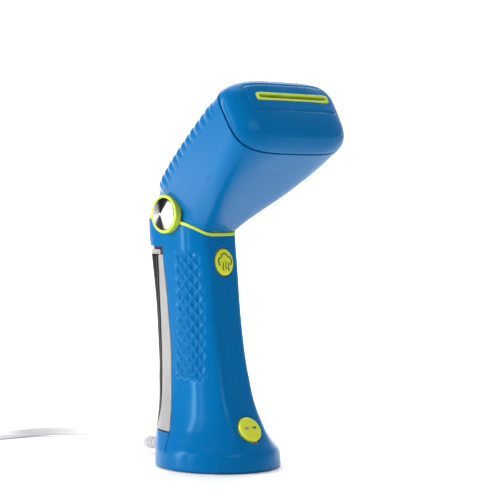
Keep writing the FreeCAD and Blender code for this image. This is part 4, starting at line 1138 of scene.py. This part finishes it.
def strain_relief():
    """A tapered boot with ribs round it."""
    way = RELIEF_END - RELIEF_START
    length = np.linalg.norm(way)
    ahead = way / length
    side = unit(np.cross(ahead, [0, 0, 1]))
    up = np.cross(side, ahead)
    a = np.linspace(0, 2 * math.pi, 65)
    rows = []
    for run in np.linspace(-2.5, length, count(260)):
        share = max(run, 0) / length
        radius = RELIEF_R + (RELIEF_TIP_R - RELIEF_R) * share
        phase = (run - RIBS_FROM) % BOOT_RIB_PITCH
        ribbed = RIBS_FROM < run < length - 3.5
        groove = 0.75 * float(smooth((1.0 - abs(phase - BOOT_RIB_PITCH / 2)) / 0.55)) if ribbed else 0.0
        collar = 0.5 * float(smooth((3.4 - run) / 1.0))
        tip = 0.9 * float(smooth((run - length + 1.2) / 1.2))
        reach = radius - groove + collar - tip
        ring = np.cos(a)[:, None] * side + np.sin(a)[:, None] * up
        rows.append(RELIEF_START + ahead * run + reach * ring)
    end = rows[-1]
    centre = end.mean(axis=0)
    rows += [centre + (end - centre) * s for s in (0.9, 0.7)]
    piece = make_piece("cord_boot", [np.stack(rows)], WHITE, "handle")
    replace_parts(piece, "strain_relief")


def plug():
    """A moulded two-pin plug: waisted grip, ribs and a tapered neck."""
    centre = np.array(PLUG_START)
    a = np.linspace(0, 2 * math.pi, 97)
    rows = []
    for run in np.linspace(0, PLUG_LENGTH, count(220)):
        body = float(smooth((run - 9) / 6))
        half_x, half_z = NECK_R + (PLUG_HALF_X - NECK_R) * body, NECK_R + (PLUG_HALF_Z - NECK_R) * body
        waist = 1.4 * math.exp(-((run - 20) / 5)**2)
        ribs = 0.35 * math.cos(run * 2 * math.pi / 2.6) * float(15 < run < 27)
        end = 1.6 * float(smooth((run - 36.4) / 1.6))
        power = 2 + 3 * body
        reach = soft_polygon(a, [(0, half_x - waist - end + ribs), (180, half_x - waist - end + ribs),
                                 (90, half_z - end), (-90, half_z - end)], power)
        rows.append(centre + np.array([0, run, 0.1 * body])
                    + stack(reach * np.cos(a), 0 * a, reach * np.sin(a)))
    last = rows[-1]
    rows += [last.mean(axis=0) + (last - last.mean(axis=0)) * s for s in (0.8, 0.4, 0.01)]
    piece = make_piece("mains_plug", [np.stack(rows)], WHITE, "handle")
    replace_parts(piece, "plug_body")


def coil_band():
    """A woven strap round the far side of the coil."""
    middle_y, middle_z, half_y, half_z = 337.05, 5.45, 15.35, 5.45
    a = np.linspace(0, 2 * math.pi, 121)
    reach = soft_polygon(a, [(0, half_y), (180, half_y), (90, half_z), (-90, half_z)], 6.0)
    section = [(0.75, 2.6), (0.1, 2.85), (0, 2.6), (0, 0), (0, -2.6), (0.1, -2.85), (0.75, -2.6)]
    rows = [stack(COIL_X + half_width + 0 * a, middle_y + (reach - inset) * np.cos(a),
                  middle_z + (reach - inset) * np.sin(a)) for inset, half_width in section]
    piece = make_piece("coil_strap", [np.stack(rows)], WEBBING, "handle", sharp=60)
    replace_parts(piece, "coil_tie")


# ---------------------------------------------------------------- floor and light
FLOOR_HALF = 4                           # half width of the floor, metres


def floor_sheet():
    """A pale sweep: flat under the object, curving up behind it."""
    azimuth = math.radians(-CAMERA_AZIMUTH)
    back = np.array([math.sin(azimuth), math.cos(azimuth), 0])
    side = np.array([back[1], -back[0], 0])
    profile = [(-2.5, 0), (-1, 0), (0, 0), (1.0, 0), (1.5, 0.02), (2.0, 0.15), (2.4, 0.5), (2.6, 1.2),
               (2.6, 4)]                 # (distance behind the object, height), metres
    grid = np.array([[side * s * FLOOR_HALF + back * run + np.array([0, 0, height])
                      for s in np.linspace(-1, 1, 9)] for run, height in profile])
    n = Nodes("studio_floor")
    pale = n.mix(n.noise(3, 2), (0.93, 0.93, 0.93), (0.95, 0.95, 0.95))
    material = n.surface(Base_Color=pale, Roughness=0.7)
    mesh = bpy.data.meshes.new("studio_floor")
    rows, columns = grid.shape[:2]
    starts = [r * columns + c for r in range(rows - 1) for c in range(columns - 1)]
    faces = [(k, k + 1, k + columns + 1, k + columns) for k in starts]
    mesh.from_pydata([tuple(p) for p in grid.reshape(-1, 3)], [], faces)
    mesh.shade_smooth()
    mesh.materials.append(material)
    floor = bpy.data.objects.new("studio_floor", mesh)
    bpy.context.scene.collection.objects.link(floor)


def area_light(name, place, target, size, power):
    data = bpy.data.lights.new(name, "AREA")
    data.shape, data.size, data.size_y = "RECTANGLE", size[0], size[1]
    data.energy = power
    light = bpy.data.objects.new(name, data)
    light.location = place
    light.rotation_euler = (Vector(target) - Vector(place)).to_track_quat("-Z", "Y").to_euler()
    bpy.context.scene.collection.objects.link(light)


def studio():
    world = bpy.data.worlds.new("studio")
    world.use_nodes = True
    shade = world.node_tree.nodes["Background"]
    shade.inputs["Color"].default_value = (1, 1, 1, 1)
    shade.inputs["Strength"].default_value = 0.33
    bpy.context.scene.world = world
    bpy.context.scene.view_settings.view_transform = "Standard"
    area_light("left_box", (-1.3, 0.72, 0.6), (0, 0, 0.15), (0.24, 1.3), 18)
    area_light("edge_box", (-1.45, 0.1, 0.6), (0, 0, 0.15), (0.08, 1.2), 5)
    area_light("front_box", (-0.3, -1.9, 1.2), (0, 0, 0.15), (0.9, 0.9), 9)
    area_light("top_box", (0.1, 0.1, 1.6), (0, 0, 0), (1.0, 1.0), 9)
    area_light("backdrop_box", (0.9, 1.0, 1.7), (1.6, 1.8, 0.1), (2.4, 1.6), 75)


floor_sheet()
studio()
add_cord()
front_shell()
rear_shell()
bay_shade_sheet()
hinge_trim()
chrome_cap(1)
chrome_cap(-1)
head_shell()
head_arrow(-1)
head_arrow(1)
nozzle_cap()
slot_liner()
dome_button(STEAM_BUTTON, "steam", 1.1, 0.5)
dome_button(POWER_BUTTON, "power", 1.5, 0.35)
steam_icon()
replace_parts(indicator_lens("lens_left", -3.4, LENS_LEFT), "indicator_lenses")
indicator_lens("lens_right", 3.4, LENS_RIGHT)
water_tank()
strain_relief()
plug()
coil_band()
